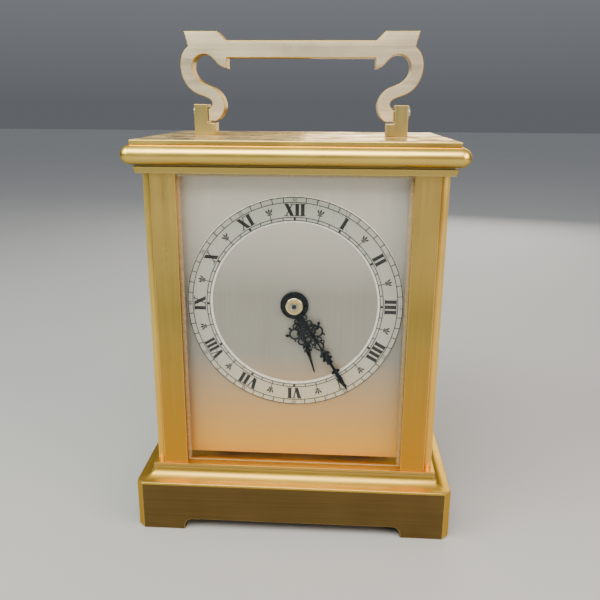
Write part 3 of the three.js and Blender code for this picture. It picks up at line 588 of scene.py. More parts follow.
@dataclass(frozen=True)
class StainedPlate:
    """Polished brass whose lacquer has broken into wavy brown stains."""

    name: str
    bright: Colour
    stain: Colour
    dark: Colour

    def build(self) -> bpy.types.Material:
        """Makes the material."""
        w = ShaderWriter(self.name)
        waves = w.noise((38.0, 115.0, 115.0), detail=5.0, distortion=1.6)
        spots = w.noise((300.0, 420.0, 420.0), detail=3.0, shift=5.0)
        mark = w.calc(
            "ADD", w.calc("MULTIPLY", waves, 0.8), w.calc("MULTIPLY", spots, 0.2)
        )
        colour = w.mix(w.remap(mark, (0.44, 0.53)), self.bright, self.stain)
        colour = w.mix(w.remap(mark, (0.52, 0.62)), colour, self.dark)
        fine = w.noise(Grain.ALONG_X.value, detail=3.0, shift=2.0)
        shader = w.node(
            "ShaderNodeBsdfPrincipled",
            {
                "Base Color": colour,
                "Metallic": w.remap(mark, (0.45, 0.58), (1.0, 0.25)),
                "Specular IOR Level": 0.0,
                "Specular Tint": colour,
                "Roughness": w.remap(mark, (0.4, 0.62), (0.18, 0.5)),
                "Normal": w.bump(w.calc("ADD", mark, fine), 0.04),
            },
        )
        return w.finish(shader.outputs[0])


@dataclass(frozen=True)
class Silvering:
    """Silvered brass with vertical grain; painted warm reflection towards its foot and painted
    light towards its head.
    """

    name: str
    body: Colour
    deep: Colour
    foot: Colour
    foot_span: tuple[float, float]
    head: Colour
    roughness: tuple[float, float] = (0.3, 0.42)
    metallic: float = 0.75
    head_span: tuple[float, float] = (88.0, 128.0)

    def build(self) -> bpy.types.Material:
        """Makes the material."""
        w = ShaderWriter(self.name)
        lines = w.noise((2100.0, 2100.0, 18.0), detail=5.0)
        wide = w.noise((420.0, 420.0, 9.0), detail=2.0, shift=4.0)
        cloud = w.noise((34.0, 34.0, 22.0), detail=3.0, shift=9.0)
        tone = w.calc(
            "ADD",
            w.remap(lines, (0.3, 0.7), (0.0, 0.45)),
            w.remap(cloud, (0.3, 0.7), (0.0, 0.55)),
        )
        colour = w.mix(tone, self.deep, self.body)
        # Painted light: warm reflection towards the foot, a changed tone towards the head.
        low, high = self.foot_span
        colour = w.by_height(colour, self.foot, high, low)
        low, high = self.head_span
        colour = w.by_height(colour, self.head, low, high, most=0.9)
        height = w.calc("ADD", lines, w.calc("MULTIPLY", wide, 0.6))
        shader = w.node(
            "ShaderNodeBsdfPrincipled",
            {
                "Base Color": colour,
                "Metallic": self.metallic,
                "Roughness": w.remap(wide, (0.3, 0.7), self.roughness),
                "Normal": w.bump(height, 0.01),
            },
        )
        return w.finish(shader.outputs[0])


@dataclass(frozen=True)
class Pane:
    """Thin clear glass with a faint film of dust, paler where it is seen at a slant."""

    name: str
    tint: Colour = (0.965, 0.975, 0.965)
    face_on: float = 0.012
    slanted: float = 0.45

    def build(self) -> bpy.types.Material:
        """Makes the material."""
        w = ShaderWriter(self.name)
        film = w.noise((70.0, 70.0, 55.0), detail=4.0, distortion=0.6)
        dust = w.noise((2600.0, 2600.0, 2600.0), detail=1.0, shift=1.0)
        veil = w.calc(
            "ADD",
            w.remap(film, (0.5, 0.8), (0.0, 0.008)),
            w.remap(dust, (0.68, 0.74), (0.0, 0.03)),
        )
        tilt = w.node("ShaderNodeLayerWeight", {"Blend": 0.5}).outputs["Facing"]
        sheen = w.calc("MULTIPLY", w.calc("POWER", tilt, 4.0), self.slanted)
        gleam = w.calc("ADD", w.calc("ADD", sheen, self.face_on), veil)
        clear = w.node("ShaderNodeBsdfTransparent", {"Color": (*self.tint, 1.0)})
        gloss = w.node(
            "ShaderNodeBsdfPrincipled",
            {
                "Base Color": w.mix(film, (0.8, 0.82, 0.8), (0.9, 0.91, 0.9)),
                "Metallic": 1.0,
                "Roughness": w.remap(film, (0.4, 0.8), (0.02, 0.1)),
            },
        )
        shader = w.node(
            "ShaderNodeMixShader", {0: gleam, 1: clear.outputs[0], 2: gloss.outputs[0]}
        )
        return w.finish(shader.outputs[0])


@dataclass(frozen=True)
class GroundGlass:
    """The bevels of a pane: a gritty painted reflection laid over part of the clear glass."""

    name: str
    colour: Colour
    light: Colour
    cover: tuple[float, float] = (0.45, 0.65)

    def build(self) -> bpy.types.Material:
        """Makes the material."""
        w = ShaderWriter(self.name)
        grit = w.noise((900.0, 900.0, 900.0), detail=3.0)
        clear = w.node("ShaderNodeBsdfTransparent", {"Color": (0.93, 0.95, 0.94, 1.0)})
        solid = w.node(
            "ShaderNodeBsdfPrincipled",
            {
                "Base Color": w.mix(grit, self.colour, self.light),
                "Roughness": w.remap(grit, (0.3, 0.7), (0.12, 0.3)),
                "Normal": w.bump(grit, 0.01),
            },
        )
        shader = w.node(
            "ShaderNodeMixShader",
            {
                0: w.remap(grit, (0.3, 0.7), self.cover),
                1: clear.outputs[0],
                2: solid.outputs[0],
            },
        )
        return w.finish(shader.outputs[0])


@dataclass(frozen=True)
class Enamel:
    """Printed or painted black, a little uneven."""

    name: str
    dark: Colour = (0.008, 0.008, 0.01)
    light: Colour = (0.03, 0.03, 0.034)

    def build(self) -> bpy.types.Material:
        """Makes the material."""
        w = ShaderWriter(self.name)
        grain = w.noise((1400.0, 1400.0, 1400.0), detail=3.0)
        shader = w.node(
            "ShaderNodeBsdfPrincipled",
            {
                "Base Color": w.mix(
                    w.remap(grain, (0.4, 0.7)), self.dark, self.light
                ),
                "Roughness": w.remap(grain, (0.3, 0.7), (0.35, 0.55)),
            },
        )
        return w.finish(shader.outputs[0])


@dataclass(frozen=True)
class Plaster:
    """The pale floor."""

    name: str
    light: Colour = (0.4, 0.4, 0.4)
    dark: Colour = (0.37, 0.37, 0.37)

    def build(self) -> bpy.types.Material:
        """Makes the material."""
        w = ShaderWriter(self.name)
        cloud = w.noise((6.0, 6.0, 6.0), detail=4.0)
        shader = w.node(
            "ShaderNodeBsdfPrincipled",
            {"Base Color": w.mix(cloud, self.dark, self.light), "Roughness": 0.75},
        )
        return w.finish(shader.outputs[0])


Finish = (
    BrushedMetal | StainedPlate | Silvering | Pane | GroundGlass | Enamel | Plaster
)

# Its foot colour darkens the lower part of the round: painted dark reflection.
CORNICE_GILT = BrushedMetal(
    "cornice_gilt",
    (0.96, 0.68, 0.15),
    (0.85, 0.58, 0.115),
    (0.97, 0.78, 0.38),
    Grain.ALONG_X,
    roughness=(0.28, 0.38),
    line_tone=0.5,
    line_mm=0.004,
    foot=(0.46, 0.34, 0.09),
    foot_span=(134.2, 137.4),
)
# Painted light: the pillar brass turns brighter towards the head and warmer orange towards the
# foot.
PILLAR_BRASS = BrushedMetal(
    "pillar_brass",
    (0.5, 0.34, 0.07),
    (0.38, 0.26, 0.048),
    (0.94, 0.66, 0.18),
    Grain.ALONG_Z,
    roughness=(0.26, 0.38),
    line_tone=0.6,
    line_mm=0.008,
    foot=(0.66, 0.29, 0.011),
    foot_span=(26.0, 78.0),
    head=(0.96, 0.66, 0.18),
    head_span=(84.0, 129.0),
)
# A brighter copy of the pillar brass for the scoop faces: painted highlight, warming towards
# the foot as painted light.
SCOOP_BRASS = BrushedMetal(
    "scoop_brass",
    (0.88, 0.62, 0.15),
    (0.74, 0.5, 0.11),
    (0.98, 0.8, 0.4),
    Grain.ALONG_Z,
    roughness=(0.28, 0.4),
    line_tone=0.5,
    line_mm=0.005,
    foot=(0.92, 0.5, 0.05),
    foot_span=(26.0, 78.0),
)
# A much darker copy of the brass for the plinth's upright faces: painted shade.
PLINTH_BRASS = BrushedMetal(
    "plinth_brass",
    (0.175, 0.11, 0.03),
    (0.12, 0.074, 0.02),
    (0.95, 0.68, 0.24),
    Grain.ALONG_X,
    roughness=(0.32, 0.44),
    line_tone=0.6,
    line_mm=0.008,
)
COVE_BRASS = BrushedMetal(
    "cove_brass",
    (0.62, 0.39, 0.06),
    (0.54, 0.33, 0.05),
    (0.97, 0.76, 0.34),
    Grain.ALONG_X,
    roughness=(0.34, 0.44),
    line_tone=0.5,
    line_mm=0.003,
)
HANDLE_BRASS = BrushedMetal(
    "handle_brass",
    (1.0, 0.86, 0.6),
    (0.89, 0.75, 0.5),
    (0.98, 0.78, 0.42),
    Grain.ALONG_X,
    roughness=(0.36, 0.5),
    line_tone=0.7,
    line_mm=0.012,
)
# A darker copy of the handle brass for side faces, keeping lamp reflections on them gold:
# painted shade.
HANDLE_EDGE = BrushedMetal(
    "handle_edge",
    (0.52, 0.36, 0.1),
    (0.44, 0.3, 0.075),
    (0.92, 0.7, 0.34),
    Grain.ALONG_Y,
    roughness=(0.42, 0.52),
    line_mm=0.004,
)
BLOCK_BRASS = BrushedMetal(
    "block_brass",
    (0.72, 0.6, 0.25),
    (0.6, 0.5, 0.2),
    (0.9, 0.72, 0.36),
    Grain.ALONG_Z,
    roughness=(0.3, 0.42),
)
DECK_BRASS = StainedPlate(
    "deck_brass", (0.95, 0.78, 0.48), (0.66, 0.48, 0.22), (0.3, 0.19, 0.07)
)
DOOR_BRASS = BrushedMetal(
    "door_brass",
    (0.84, 0.58, 0.16),
    (0.7, 0.47, 0.11),
    (0.96, 0.79, 0.4),
    Grain.ALONG_Z,
)
MOVEMENT_BRASS = BrushedMetal(
    "movement_brass",
    (0.86, 0.64, 0.24),
    (0.72, 0.52, 0.17),
    (0.96, 0.82, 0.45),
    Grain.ALONG_X,
    roughness=(0.2, 0.34),
)
WHEEL_BRASS = BrushedMetal(
    "wheel_brass",
    (0.88, 0.65, 0.22),
    (0.75, 0.53, 0.16),
    (0.97, 0.84, 0.45),
    Grain.FINE,
    roughness=(0.18, 0.3),
    line_mm=0.006,
)
GILT = BrushedMetal(
    "platform_gilt",
    (0.93, 0.7, 0.26),
    (0.82, 0.59, 0.2),
    (0.98, 0.88, 0.55),
    Grain.FINE,
    roughness=(0.24, 0.36),
    line_mm=0.008,
)
KNOB_GILT = BrushedMetal(
    "collet_gilt",
    (0.94, 0.8, 0.48),
    (0.84, 0.68, 0.36),
    (0.99, 0.93, 0.72),
    Grain.FINE,
    roughness=(0.16, 0.26),
    line_mm=0.003,
)
STEEL = BrushedMetal(
    "polished_steel",
    (0.6, 0.6, 0.61),
    (0.46, 0.46, 0.48),
    (0.8, 0.8, 0.8),
    Grain.FINE,
    roughness=(0.16, 0.3),
    line_mm=0.004,
    lacquer=0.0,
)
BLUED = BrushedMetal(
    "blued_steel",
    (0.01, 0.017, 0.026),
    (0.005, 0.009, 0.014),
    (0.016, 0.03, 0.045),
    Grain.FINE,
    roughness=(0.26, 0.38),
    cloud_mm=9.0,
    line_mm=0.002,
    lacquer=0.05,
)
BLUED_HEAD = BrushedMetal(
    "blued_head",
    (0.03, 0.07, 0.2),
    (0.02, 0.045, 0.14),
    (0.1, 0.16, 0.3),
    Grain.FINE,
    roughness=(0.16, 0.28),
    cloud_mm=5.0,
    line_mm=0.002,
    lacquer=0.1,
)
# Painted light: orange reflection towards the foot, much paler towards the head.
DIAL_SILVER = Silvering(
    "dial_silver",
    (0.42, 0.388, 0.352),
    (0.352, 0.328, 0.3),
    (0.97, 0.47, 0.06),
    (30.0, 66.0),
    (1.0, 0.92, 0.83),
    metallic=0.55,
)
# Painted light: warm reflection towards the foot, a cooler tone towards the head.
RING_SILVER = Silvering(
    "ring_silver",
    (0.64, 0.61, 0.55),
    (0.57, 0.545, 0.49),
    (0.86, 0.66, 0.42),
    (40.0, 66.0),
    (0.62, 0.635, 0.57),
    roughness=(0.26, 0.36),
    metallic=0.5,
)
# Painted light: warm reflection towards the foot, a paler tone towards the head.
RIM_SILVER = Silvering(
    "rim_silver",
    (0.95, 0.93, 0.88),
    (0.88, 0.86, 0.8),
    (0.97, 0.84, 0.64),
    (40.0, 66.0),
    (0.97, 0.97, 0.92),
    roughness=(0.22, 0.3),
    metallic=0.4,
)
CLEAR_GLASS = Pane("clear_glass")
# Bevel colours are painted reflection: pale light on the bottom and top, warm brass-brown on
# the sides.
PALE_BEVEL = GroundGlass(
    "pale_bevel", (0.93, 0.8, 0.62), (1.0, 0.95, 0.86), cover=(0.75, 0.95)
)
WARM_BEVEL = GroundGlass("warm_bevel", (0.42, 0.27, 0.1), (0.55, 0.38, 0.17))
INK = Enamel("dial_ink")
SHADE = Enamel("screw_slot", (0.02, 0.016, 0.01), (0.05, 0.04, 0.03))
FLOOR = Plaster("pale_floor")


# ---- Bench -----------------------------------------------------------------------------


@dataclass(frozen=True)
class Box:
    """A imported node's box."""

    low: np.ndarray
    high: np.ndarray

    @property
    def middle(self) -> np.ndarray:
        """Its centre."""
        return (self.low + self.high) / 2

    @property
    def size(self) -> np.ndarray:
        """Its side lengths."""
        return self.high - self.low

    def reach(self, axis: int) -> tuple[float, float]:
        """Its nearest and its furthest distance from the clock's middle along an axis."""
        near, far = sorted([abs(self.low[axis]), abs(self.high[axis])])
        return near, far


def node_box(name: str) -> Box:
    """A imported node's box, in millimetres."""
    low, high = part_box(name)
    return Box(np.array(low) / MM, np.array(high) / MM)


@dataclass
class Bench:
    """Makes pieces from surfaces, dresses them and fixes them to the frame's bodies."""

    nodes: dict[str, bpy.types.Object]
    made: dict[str, bpy.types.Material] = field(default_factory=dict)

    def material(self, finish: Finish) -> bpy.types.Material:
        """The material of a finish, made once."""
        if finish.name not in self.made:
            self.made[finish.name] = finish.build()
        return self.made[finish.name]

    def mesh(
        self, name: str, surfaces: Sequence[Surface], sharp: float = 31.0
    ) -> bpy.types.Object:
        """Puts surfaces into one mesh: doubles merged, faces outward, sharp edges kept.

        Args:
            name: Name of the object.
            surfaces: What it is made of.
            sharp: Edges that turn more than this, in degrees, stay sharp.

        Returns:
            The object.
        """
        offsets = np.cumsum([0] + [len(s.points) for s in surfaces])
        faces = [
            face
            for s, offset in zip(surfaces, offsets)
            for block in s.faces
            for face in (block + offset).tolist()
        ]
        finishes = np.concatenate(
            [
                np.broadcast_to(np.asarray(s.finish, np.int32), sum(map(len, s.faces)))
                for s in surfaces
            ]
        )
        mesh = bpy.data.meshes.new(name)
        points = np.concatenate([s.points for s in surfaces]) * MM
        mesh.from_pydata(points.tolist(), [], faces)
        mesh.polygons.foreach_set("material_index", finishes)
        work = bmesh.new()
        work.from_mesh(mesh)
        work.verts.ensure_lookup_table()
        groups = [work.verts[a:b] for a, b in zip(offsets[:-1], offsets[1:])]
        for group in groups:
            bmesh.ops.remove_doubles(work, verts=group, dist=2e-6)
        flat = [f for f in work.faces if f.calc_area() < 1e-15]
        bmesh.ops.delete(work, geom=flat, context="FACES_ONLY")
        bmesh.ops.recalc_face_normals(work, faces=work.faces)
        work.to_mesh(mesh)
        work.free()
        mesh.polygons.foreach_set("use_smooth", np.ones(len(mesh.polygons), bool))
        mesh.set_sharp_from_angle(angle=math.radians(sharp))
        made = bpy.data.objects.new(name, mesh)
        bpy.context.scene.collection.objects.link(made)
        return made

    def piece(
        self,
        name: str,
        surfaces: Sequence[Surface],
        finishes: Sequence[Finish],
        body: str,
        stands_for: Sequence[str] = (),
        slot: str | None = None,
    ) -> bpy.types.Object:
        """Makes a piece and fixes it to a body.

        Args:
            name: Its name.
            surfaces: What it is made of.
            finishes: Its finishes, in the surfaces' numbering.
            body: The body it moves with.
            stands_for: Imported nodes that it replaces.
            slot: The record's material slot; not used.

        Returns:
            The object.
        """
        made = self.mesh(name, surfaces)
        for finish in finishes:
            made.data.materials.append(self.material(finish))
        weigh = made.modifiers.new("flat_faces", "WEIGHTED_NORMAL")
        weigh.keep_sharp = True
        weigh.weight = 60
        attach(made, body)
        if stands_for:
            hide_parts(*stands_for)
        LOG.info("%s: %d faces on %s", name, len(made.data.polygons), body)
        return made

    def dress(self, names: Sequence[str], finish: Finish) -> None:
        """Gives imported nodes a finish."""
        for name in names:
            for place in self.nodes[name].material_slots:
                place.material = self.material(finish)
            LOG.info("%s: %s", name, finish.name)


# ---- Sub-assemblies --------------------------------------------------------------------


@dataclass
class Plinth:
    """The moulded plinth on four feet and the base plate on it."""

    bench: Bench
    wall: float = 4.0
    ledge: float = 8.75
    ledge_height: float = 17.0
    face_height: float = 19.1
    chamfer: float = 2.4
    cove_run: float = 5.6
    lip: float = 0.8
    foot_length: float = 17.8
    foot_height: float = 4.25
    foot_round: float = 3.2
    spigot_gap: float = 0.3
    arris: float = 0.35

    def build(self) -> None:
        """Makes both pieces."""
        plinth = node_box("plinth")
        half = (plinth.high[0], plinth.high[1])
        top = plinth.high[2]
        stations = (self.apron(half[0]), self.apron(half[1]))
        levels, (first, last) = self.levels(top)
        shell = grid(around(half, levels, stations), wrap_u=True, wrap_v=True)
        counts = [len(side) for side in stations * 2]
        row, column = np.divmod(np.arange(len(shell.faces[0])), sum(counts))
        cove = (row >= first) & (row < last)
        corner_cut = np.isin(column, np.cumsum(counts) - 1) & (row < first)
        # The cove and the cut corners take the brighter cove brass, the upright faces the
        # darker plinth brass: painted light and shade.
        shell.finish = np.where(cove | corner_cut, 1, 0)
        self.bench.piece(
            "plinth_body",
            [shell],
            [PLINTH_BRASS, COVE_BRASS],
            "case",
            ["plinth"],
            "brass",
        )
        self.plate(top)

    def apron(self, half: float) -> np.ndarray:
        """Lower edge of one side: straight feet, and a gap with round corners between them."""
        reach = half - self.foot_length
        shoulder = self.foot_height - self.foot_round
        bend = arc(reach - self.foot_round, shoulder, self.foot_round, 90, 0, 8)
        foot = [[reach, 0.0], [np.inf, 0.0]]
        right = np.concatenate([[[0.0, self.foot_height]], bend[::-1], foot])
        left = right[1:][::-1] * np.array([-1.0, 1.0])
        return np.concatenate([left, right])

    def levels(self, top: float) -> tuple[np.ndarray, tuple[int, int]]:
        """Rows up the outside, over the cove and down the inside.

        Args:
            top: Height of the plinth's top.

        Returns:
            The rows, and the first and last of them that belong to the cove.
        """
        face, e = self.face_height, self.arris
        rise, run = top - face, self.cove_run - self.lip
        t = np.radians(np.linspace(0.0, 90.0, 15))[1:]
        inset = self.lip + run * np.sin(t)
        tight = (self.chamfer - 0.6) * (1 - t / t[-1]) + 0.4
        cove = np.stack([-inset, tight, top - rise * np.cos(t), 0 * t], axis=1)
        outside = [
            [-e, self.chamfer, 0.0, 1],
            [-0.3 * e, self.chamfer, 0.3 * e, 1],
            [0, self.chamfer, e, 1],
            [0, self.chamfer, self.foot_height + 0.8, 0],
            [0, self.chamfer, face - self.lip, 0],
            [-self.lip * 0.12, self.chamfer - 0.1, face - self.lip * 0.5, 0],
            [-self.lip * 0.4, self.chamfer - 0.3, face - self.lip * 0.16, 0],
            [-self.lip, self.chamfer - 0.6, face, 0],
        ]
        inside = [
            [-self.ledge, 0.3, top, 0],
            [-self.ledge, 0.3, self.ledge_height, 0],
            [-self.wall, 0.3, self.ledge_height, 0],
            [-self.wall, 0.3, self.foot_height + 0.8, 0],
            [-self.wall, 0.3, 0.0, 1],
        ]
        rows = np.concatenate([outside, cove, inside])
        return rows, (4, len(outside) + len(cove) - 1)

    def plate(self, top: float) -> None:
        """The base plate: a spigot in the plinth and a thin step on it."""
        box = node_box("base_plate")
        step = (box.high[0], box.high[1])
        spigot = node_box("plinth").high[0] - self.ledge - self.spigot_gap - step[0]
        rows = [
            [spigot, box.low[2]],
            [spigot, top + 0.02],
            [-0.2, top + 0.02],
            [0.0, top + 0.2],
            [0.0, box.high[2] - 0.35],
            [-0.1, box.high[2] - 0.1],
            [-0.35, box.high[2]],
        ]
        surface = grid(around(step, moulding(rows, 0.4)), wrap_v=True, caps=True)
        self.bench.piece(
            "base_plate_body", [surface], [COVE_BRASS], "case", ["base_plate"], "brass"
        )


@dataclass
class Pillars:
    """Four corner pillars with a scooped outer corner and rebates for the glass."""

    bench: Bench
    face: float = 11.75
    core: float = 6.25
    lip: float = 1.6
    scoop: float = 3.1
    arris: float = 0.22

    def build(self) -> None:
        """Makes the four pillars."""
        for where, x, y in (
            ("front_left", -1, -1),
            ("front_right", 1, -1),
            ("back_left", -1, 1),
            ("back_right", 1, 1),
        ):
            node = "pillar_" + where
            box = node_box(node)
            corner = np.array([x, y]) * np.maximum(abs(box.low[:2]), abs(box.high[:2]))
            outline = rounded(corner - self.section() * np.array([x, y]), self.arris)
            surface = prism(outline, eased(box.low[2], box.high[2], 0.1, 2), Axis.Z)
            # The scoop faces take the brighter scoop brass: painted highlight.
            inward = abs(corner - surface.points[surface.faces[0], :2].mean(axis=1))
            edged(surface, (inward < self.scoop + 0.1).all(axis=1))
            self.bench.piece(
                node + "_body",
                [surface],
                [PILLAR_BRASS, SCOOP_BRASS],
                "case",
                [node],
                "brass",
            )

    def section(self) -> np.ndarray:
        """The pillar's plan, measured inwards from its outer corner."""
        rebate = [
            [0.0, self.face],
            [self.lip, self.face],
            [self.lip, self.core],
            [self.core, self.core],
            [self.core, self.lip],
            [self.face, self.lip],
            [self.face, 0.0],
        ]
        return np.concatenate([arc(0, 0, self.scoop, 90, 0, 14), rebate])


@dataclass
class Glazing:
    """Front and side panes, bevelled round their outer faces."""

    bench: Bench
    edge_bevel: float = 1.1
    seen_bevel: float = 1.25
    shoulder: float = 0.55

    def build(self) -> None:
        """Makes the three panes."""
        self.pane("front_glass", 1, -1)
        self.pane("left_glass", 0, -1)
        self.pane("right_glass", 0, 1)

    def pane(self, node: str, across: int, outward: int) -> None:
        """Makes one pane: rectangles from its inner face out to the head of its bevels.

        Args:
            node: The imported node.
            across: Index of the axis through its thickness.
            outward: Which way it faces on that axis.
        """
        box = node_box(node)
        along = 1 - across
        ends = (box.low[across], box.high[across])
        outer, inner = ends[::-1] if outward > 0 else ends
        deep = outer + (inner - outer) * self.shoulder
        opening, _ = node_box("pillar_front_right").reach(along)
        run = box.high[along] - opening + self.seen_bevel
        rows = np.array(
            [[0.0, 0.0, inner], [0.0, 0.0, deep], [run, self.edge_bevel, outer]]
        )
        signs = np.array([[-1, -1], [1, -1], [1, 1], [-1, 1]])
        middle = np.array([box.middle[along], box.middle[2]])
        half = np.array([box.size[along], box.size[2]]) / 2
        points = np.zeros((3, 4, 3))
        points[..., [along, 2]] = middle + signs * (half - rows[:, None, :2])
        points[..., across] = rows[:, 2][:, None]
        shape = grid(points, wrap_v=True, caps=True)
        # Painted reflection: pale bevels at the bottom and top, warm brass-brown bevels at the
        # sides.
        shape.finish = np.array([1, 2, 1, 2, 1, 2, 1, 2, 0, 0])
        self.bench.piece(
            node + "_pane",
            [shape],
            [CLEAR_GLASS, PALE_BEVEL, WARM_BEVEL],
            "case",
            [node],
            "glass",
        )


@dataclass
class Cornice:
    """The moulded cornice and the stained plate on it."""

    bench: Bench
    fillet_out: float = 1.9
    fillet_height: float = 2.8
    round_out: float = 5.4
    round_height: float = 6.4
    groove: float = 0.9
    taper: float = 0.45
    inset: float = 7.2

    def build(self) -> None:
        """Makes both pieces."""
        box = node_box("cornice")
        case = (box.high[0] - self.round_out, box.high[1] - self.round_out)
        low, high = box.low[2], box.high[2]
        fillet, belly = self.fillet_out, low + self.fillet_height
        t = np.radians(np.linspace(-90.0, 90.0, 33))
        bulge = np.stack(
            [
                fillet + (self.round_out - fillet) * np.cos(t),
                belly + self.round_height / 2 * (1 + np.sin(t)),
            ],
            axis=1,
        )
        foot = [
            [fillet - self.taper - 0.3, low],
            [fillet - self.taper - 0.08, low + 0.08],
            [fillet - self.taper, low + 0.3],
            [fillet, belly - 0.75],
            [fillet - 0.08, belly - 0.58],
            [fillet - 0.25, belly - 0.5],
            [fillet - self.groove, belly - 0.5],
            [fillet - self.groove, belly],
        ]
        well = [[-self.inset, high], [-self.inset, low]]
        rows = np.concatenate([foot, bulge, well])
        swell = np.maximum((self.round_out - fillet) * np.cos(t), 0.1)
        corner = np.concatenate([np.full(len(foot), 0.7), swell, [0.1, 0.1]])
        points = around(case, moulding(rows, corner), steps=7)
        surface = grid(points, wrap_u=True, wrap_v=True)
        self.bench.piece(
            "cornice_body", [surface], [CORNICE_GILT], "case", ["cornice"], "bright_brass"
        )
        self.deck()

    def deck(self) -> None:
        """The top plate, its arrises eased."""
        box = node_box("top_plate")
        low, high = box.low[2], box.high[2]
        rows = [
            [-0.25, low],
            [0.0, low + 0.2],
            [0.0, high - 0.4],
            [-0.12, high - 0.12],
            [-0.4, high],
        ]
        outer = around((box.high[0], box.high[1]), moulding(rows))
        surface = grid(outer, wrap_v=True, caps=True)
        surface.finish = np.ones(len(surface.faces[0]) + 2, int)
        surface.finish[-1] = 0
        self.bench.piece(
            "top_plate_body",
            [surface],
            [DECK_BRASS, CORNICE_GILT],
            "case",
            ["top_plate"],
            "bright_brass",
        )


@dataclass
class Handle:
    """The flat scroll handle between two stepped blocks, on pins it folds back about."""

    bench: Bench
    foot_set_in: float = 9.9
    pivot_up: float = 8.6
    bar_low: float = 27.3
    bar_top: float = 33.2
    lock_low: float = 4.5
    lock_step: float = 0.3
    horn_top: float = 36.3
    pin_radius: float = 1.4
    head_edge: float = 0.25

    def build(self) -> None:
        """Makes the handle, its blocks and its pins."""
        self.box = node_box("handle")
        self.deck = node_box("top_plate").high[2]
        self.foot = self.box.high[0] - self.foot_set_in
        self.scroll()
        for side, s in (("left", -1), ("right", 1)):
            self.block(side, s)
            self.pin(side, s)

    def scroll(self) -> None:
        """The plate: its outline carried through its thickness, the lower rear edge rounded.

        Behind the middle a point at depth y is lifted to at least pivot - sqrt(r^2 - y^2).
        """
        half = self.box.high[1]
        foot_up = self.pivot_up - half
        outer = np.concatenate(
            [
                [[0.0, foot_up], [0.0, 9.3]],
                flowing(
                    np.array(
                        [
                            [-0.5, 9.6],
                            [-1.3, 10.5],
                            [-1.5, 11.5],
                            [-0.9, 12.7],
                            [0.9, 13.7],
                            [3.5, 14.6],
                            [6.0, 16.0],
                            [8.0, 18.2],
                            [9.3, 21.0],
                            [9.8, 24.1],
                            [9.45, 27.0],
                            [8.4, 29.4],
                            [6.8, 31.0],
                        ]
                    )
                ),
                [[7.3, self.bar_top], [8.3, self.horn_top]],
            ]
        )
        top = [[-4.0, self.horn_top], [-5.9, 34.4], [-7.1, self.bar_top]]
        inner = np.concatenate(
            [
                [[-7.3, self.bar_low], [-7.3, 23.6]],
                flowing(
                    np.array(
                        [
                            [-6.2, 23.9],
                            [-4.3, 24.8],
                            [-2.9, 26.2],
                            [-1.2, 27.8],
                            [0.9, 28.5],
                            [3.1, 28.0],
                            [4.8, 26.3],
                            [5.35, 23.9],
                            [4.7, 21.5],
                            [2.9, 19.4],
                            [0.4, 18.1],
                            [-2.2, 17.0],
                            [-4.4, 15.2],
                            [-5.8, 12.9],
                            [-6.3, 10.6],
                            [-5.9, 8.6],
                        ]
                    )
                ),
                arc(-0.8, 10.0, 5.3, -125, -165, 6),
                [[-1.9, foot_up]],
            ]
        )
        right = np.concatenate([inner, outer, top])
        right = right + np.array([self.foot, self.deck])
        left = (right * np.array([-1.0, 1.0]))[::-1]
        outline = rounded(np.concatenate([right, left]), 0.3, least_turn=30.0)
        ease = eased(-half, half, 0.32)
        fill = half * np.sin(np.radians([0.0, 20.0, 38.0, 52.0, 62.0]))
        body = np.stack([fill, 0 * fill], axis=1)
        stations = np.concatenate([ease[:4], body, ease[4:]])
        shape = prism(outline, stations, Axis.Y)
        depth = np.clip(shape.points[:, 1], 0.0, half)
        heel = self.deck + self.pivot_up - np.sqrt(half**2 - depth**2)
        shape.points[:, 2] = np.maximum(shape.points[:, 2], heel)
        # Side faces take the darker handle edge brass: painted shade.
        self.bench.piece(
            "handle_scroll",
            [edged(shape)],
            [HANDLE_BRASS, HANDLE_EDGE],
            "handle",
            ["handle"],
            "pale_brass",
        )

    def block(self, side: str, s: int) -> None:
        """One stepped block that the handle stands against."""
        node = "handle_block_" + side
        box = node_box(node)
        inner, outer = box.reach(0)
        step = self.foot + self.lock_step
        outline = np.array(
            [
                [s * inner, box.low[2]],
                [s * outer, box.low[2]],
                [s * outer, box.high[2]],
                [s * step, box.high[2]],
                [s * step, self.deck + self.lock_low],
                [s * inner, self.deck + self.lock_low],
            ]
        )
        stations = eased(box.low[1], box.high[1], 0.28)
        # Side faces take the darker handle edge brass: painted shade.
        surface = edged(prism(rounded(outline, 0.35), stations, Axis.Y))
        finishes = [BLOCK_BRASS, HANDLE_EDGE]
        self.bench.piece(node + "_body", [surface], finishes, "case", [node], "brass")

    def pin(self, side: str, s: int) -> None:
        """A pin with a low domed head on the block's outer face."""
        node = "handle_pin_" + side
        box = node_box(node)
        middle = (box.middle[1], box.middle[2])
        inner, tip = box.reach(0)
        _, face = node_box("handle_block_" + side).reach(0)
        head = box.size[2] / 2
        brim = face + self.head_edge
        t = np.linspace(0.0, np.pi / 2, 7)
        dome = np.stack([head * np.cos(t), brim + (tip - brim) * np.sin(t)], axis=1)
        profile = np.concatenate(
            [
                [[0.0, inner], [self.pin_radius, inner], [self.pin_radius, face]],
                [[head, face]],
                dome,
            ]
        )
        profile[:, 1] *= s
        surface = turned(profile, middle, Axis.X, 32)
        self.bench.piece(node + "_body", [surface], [STEEL], "case", [node], "steel")


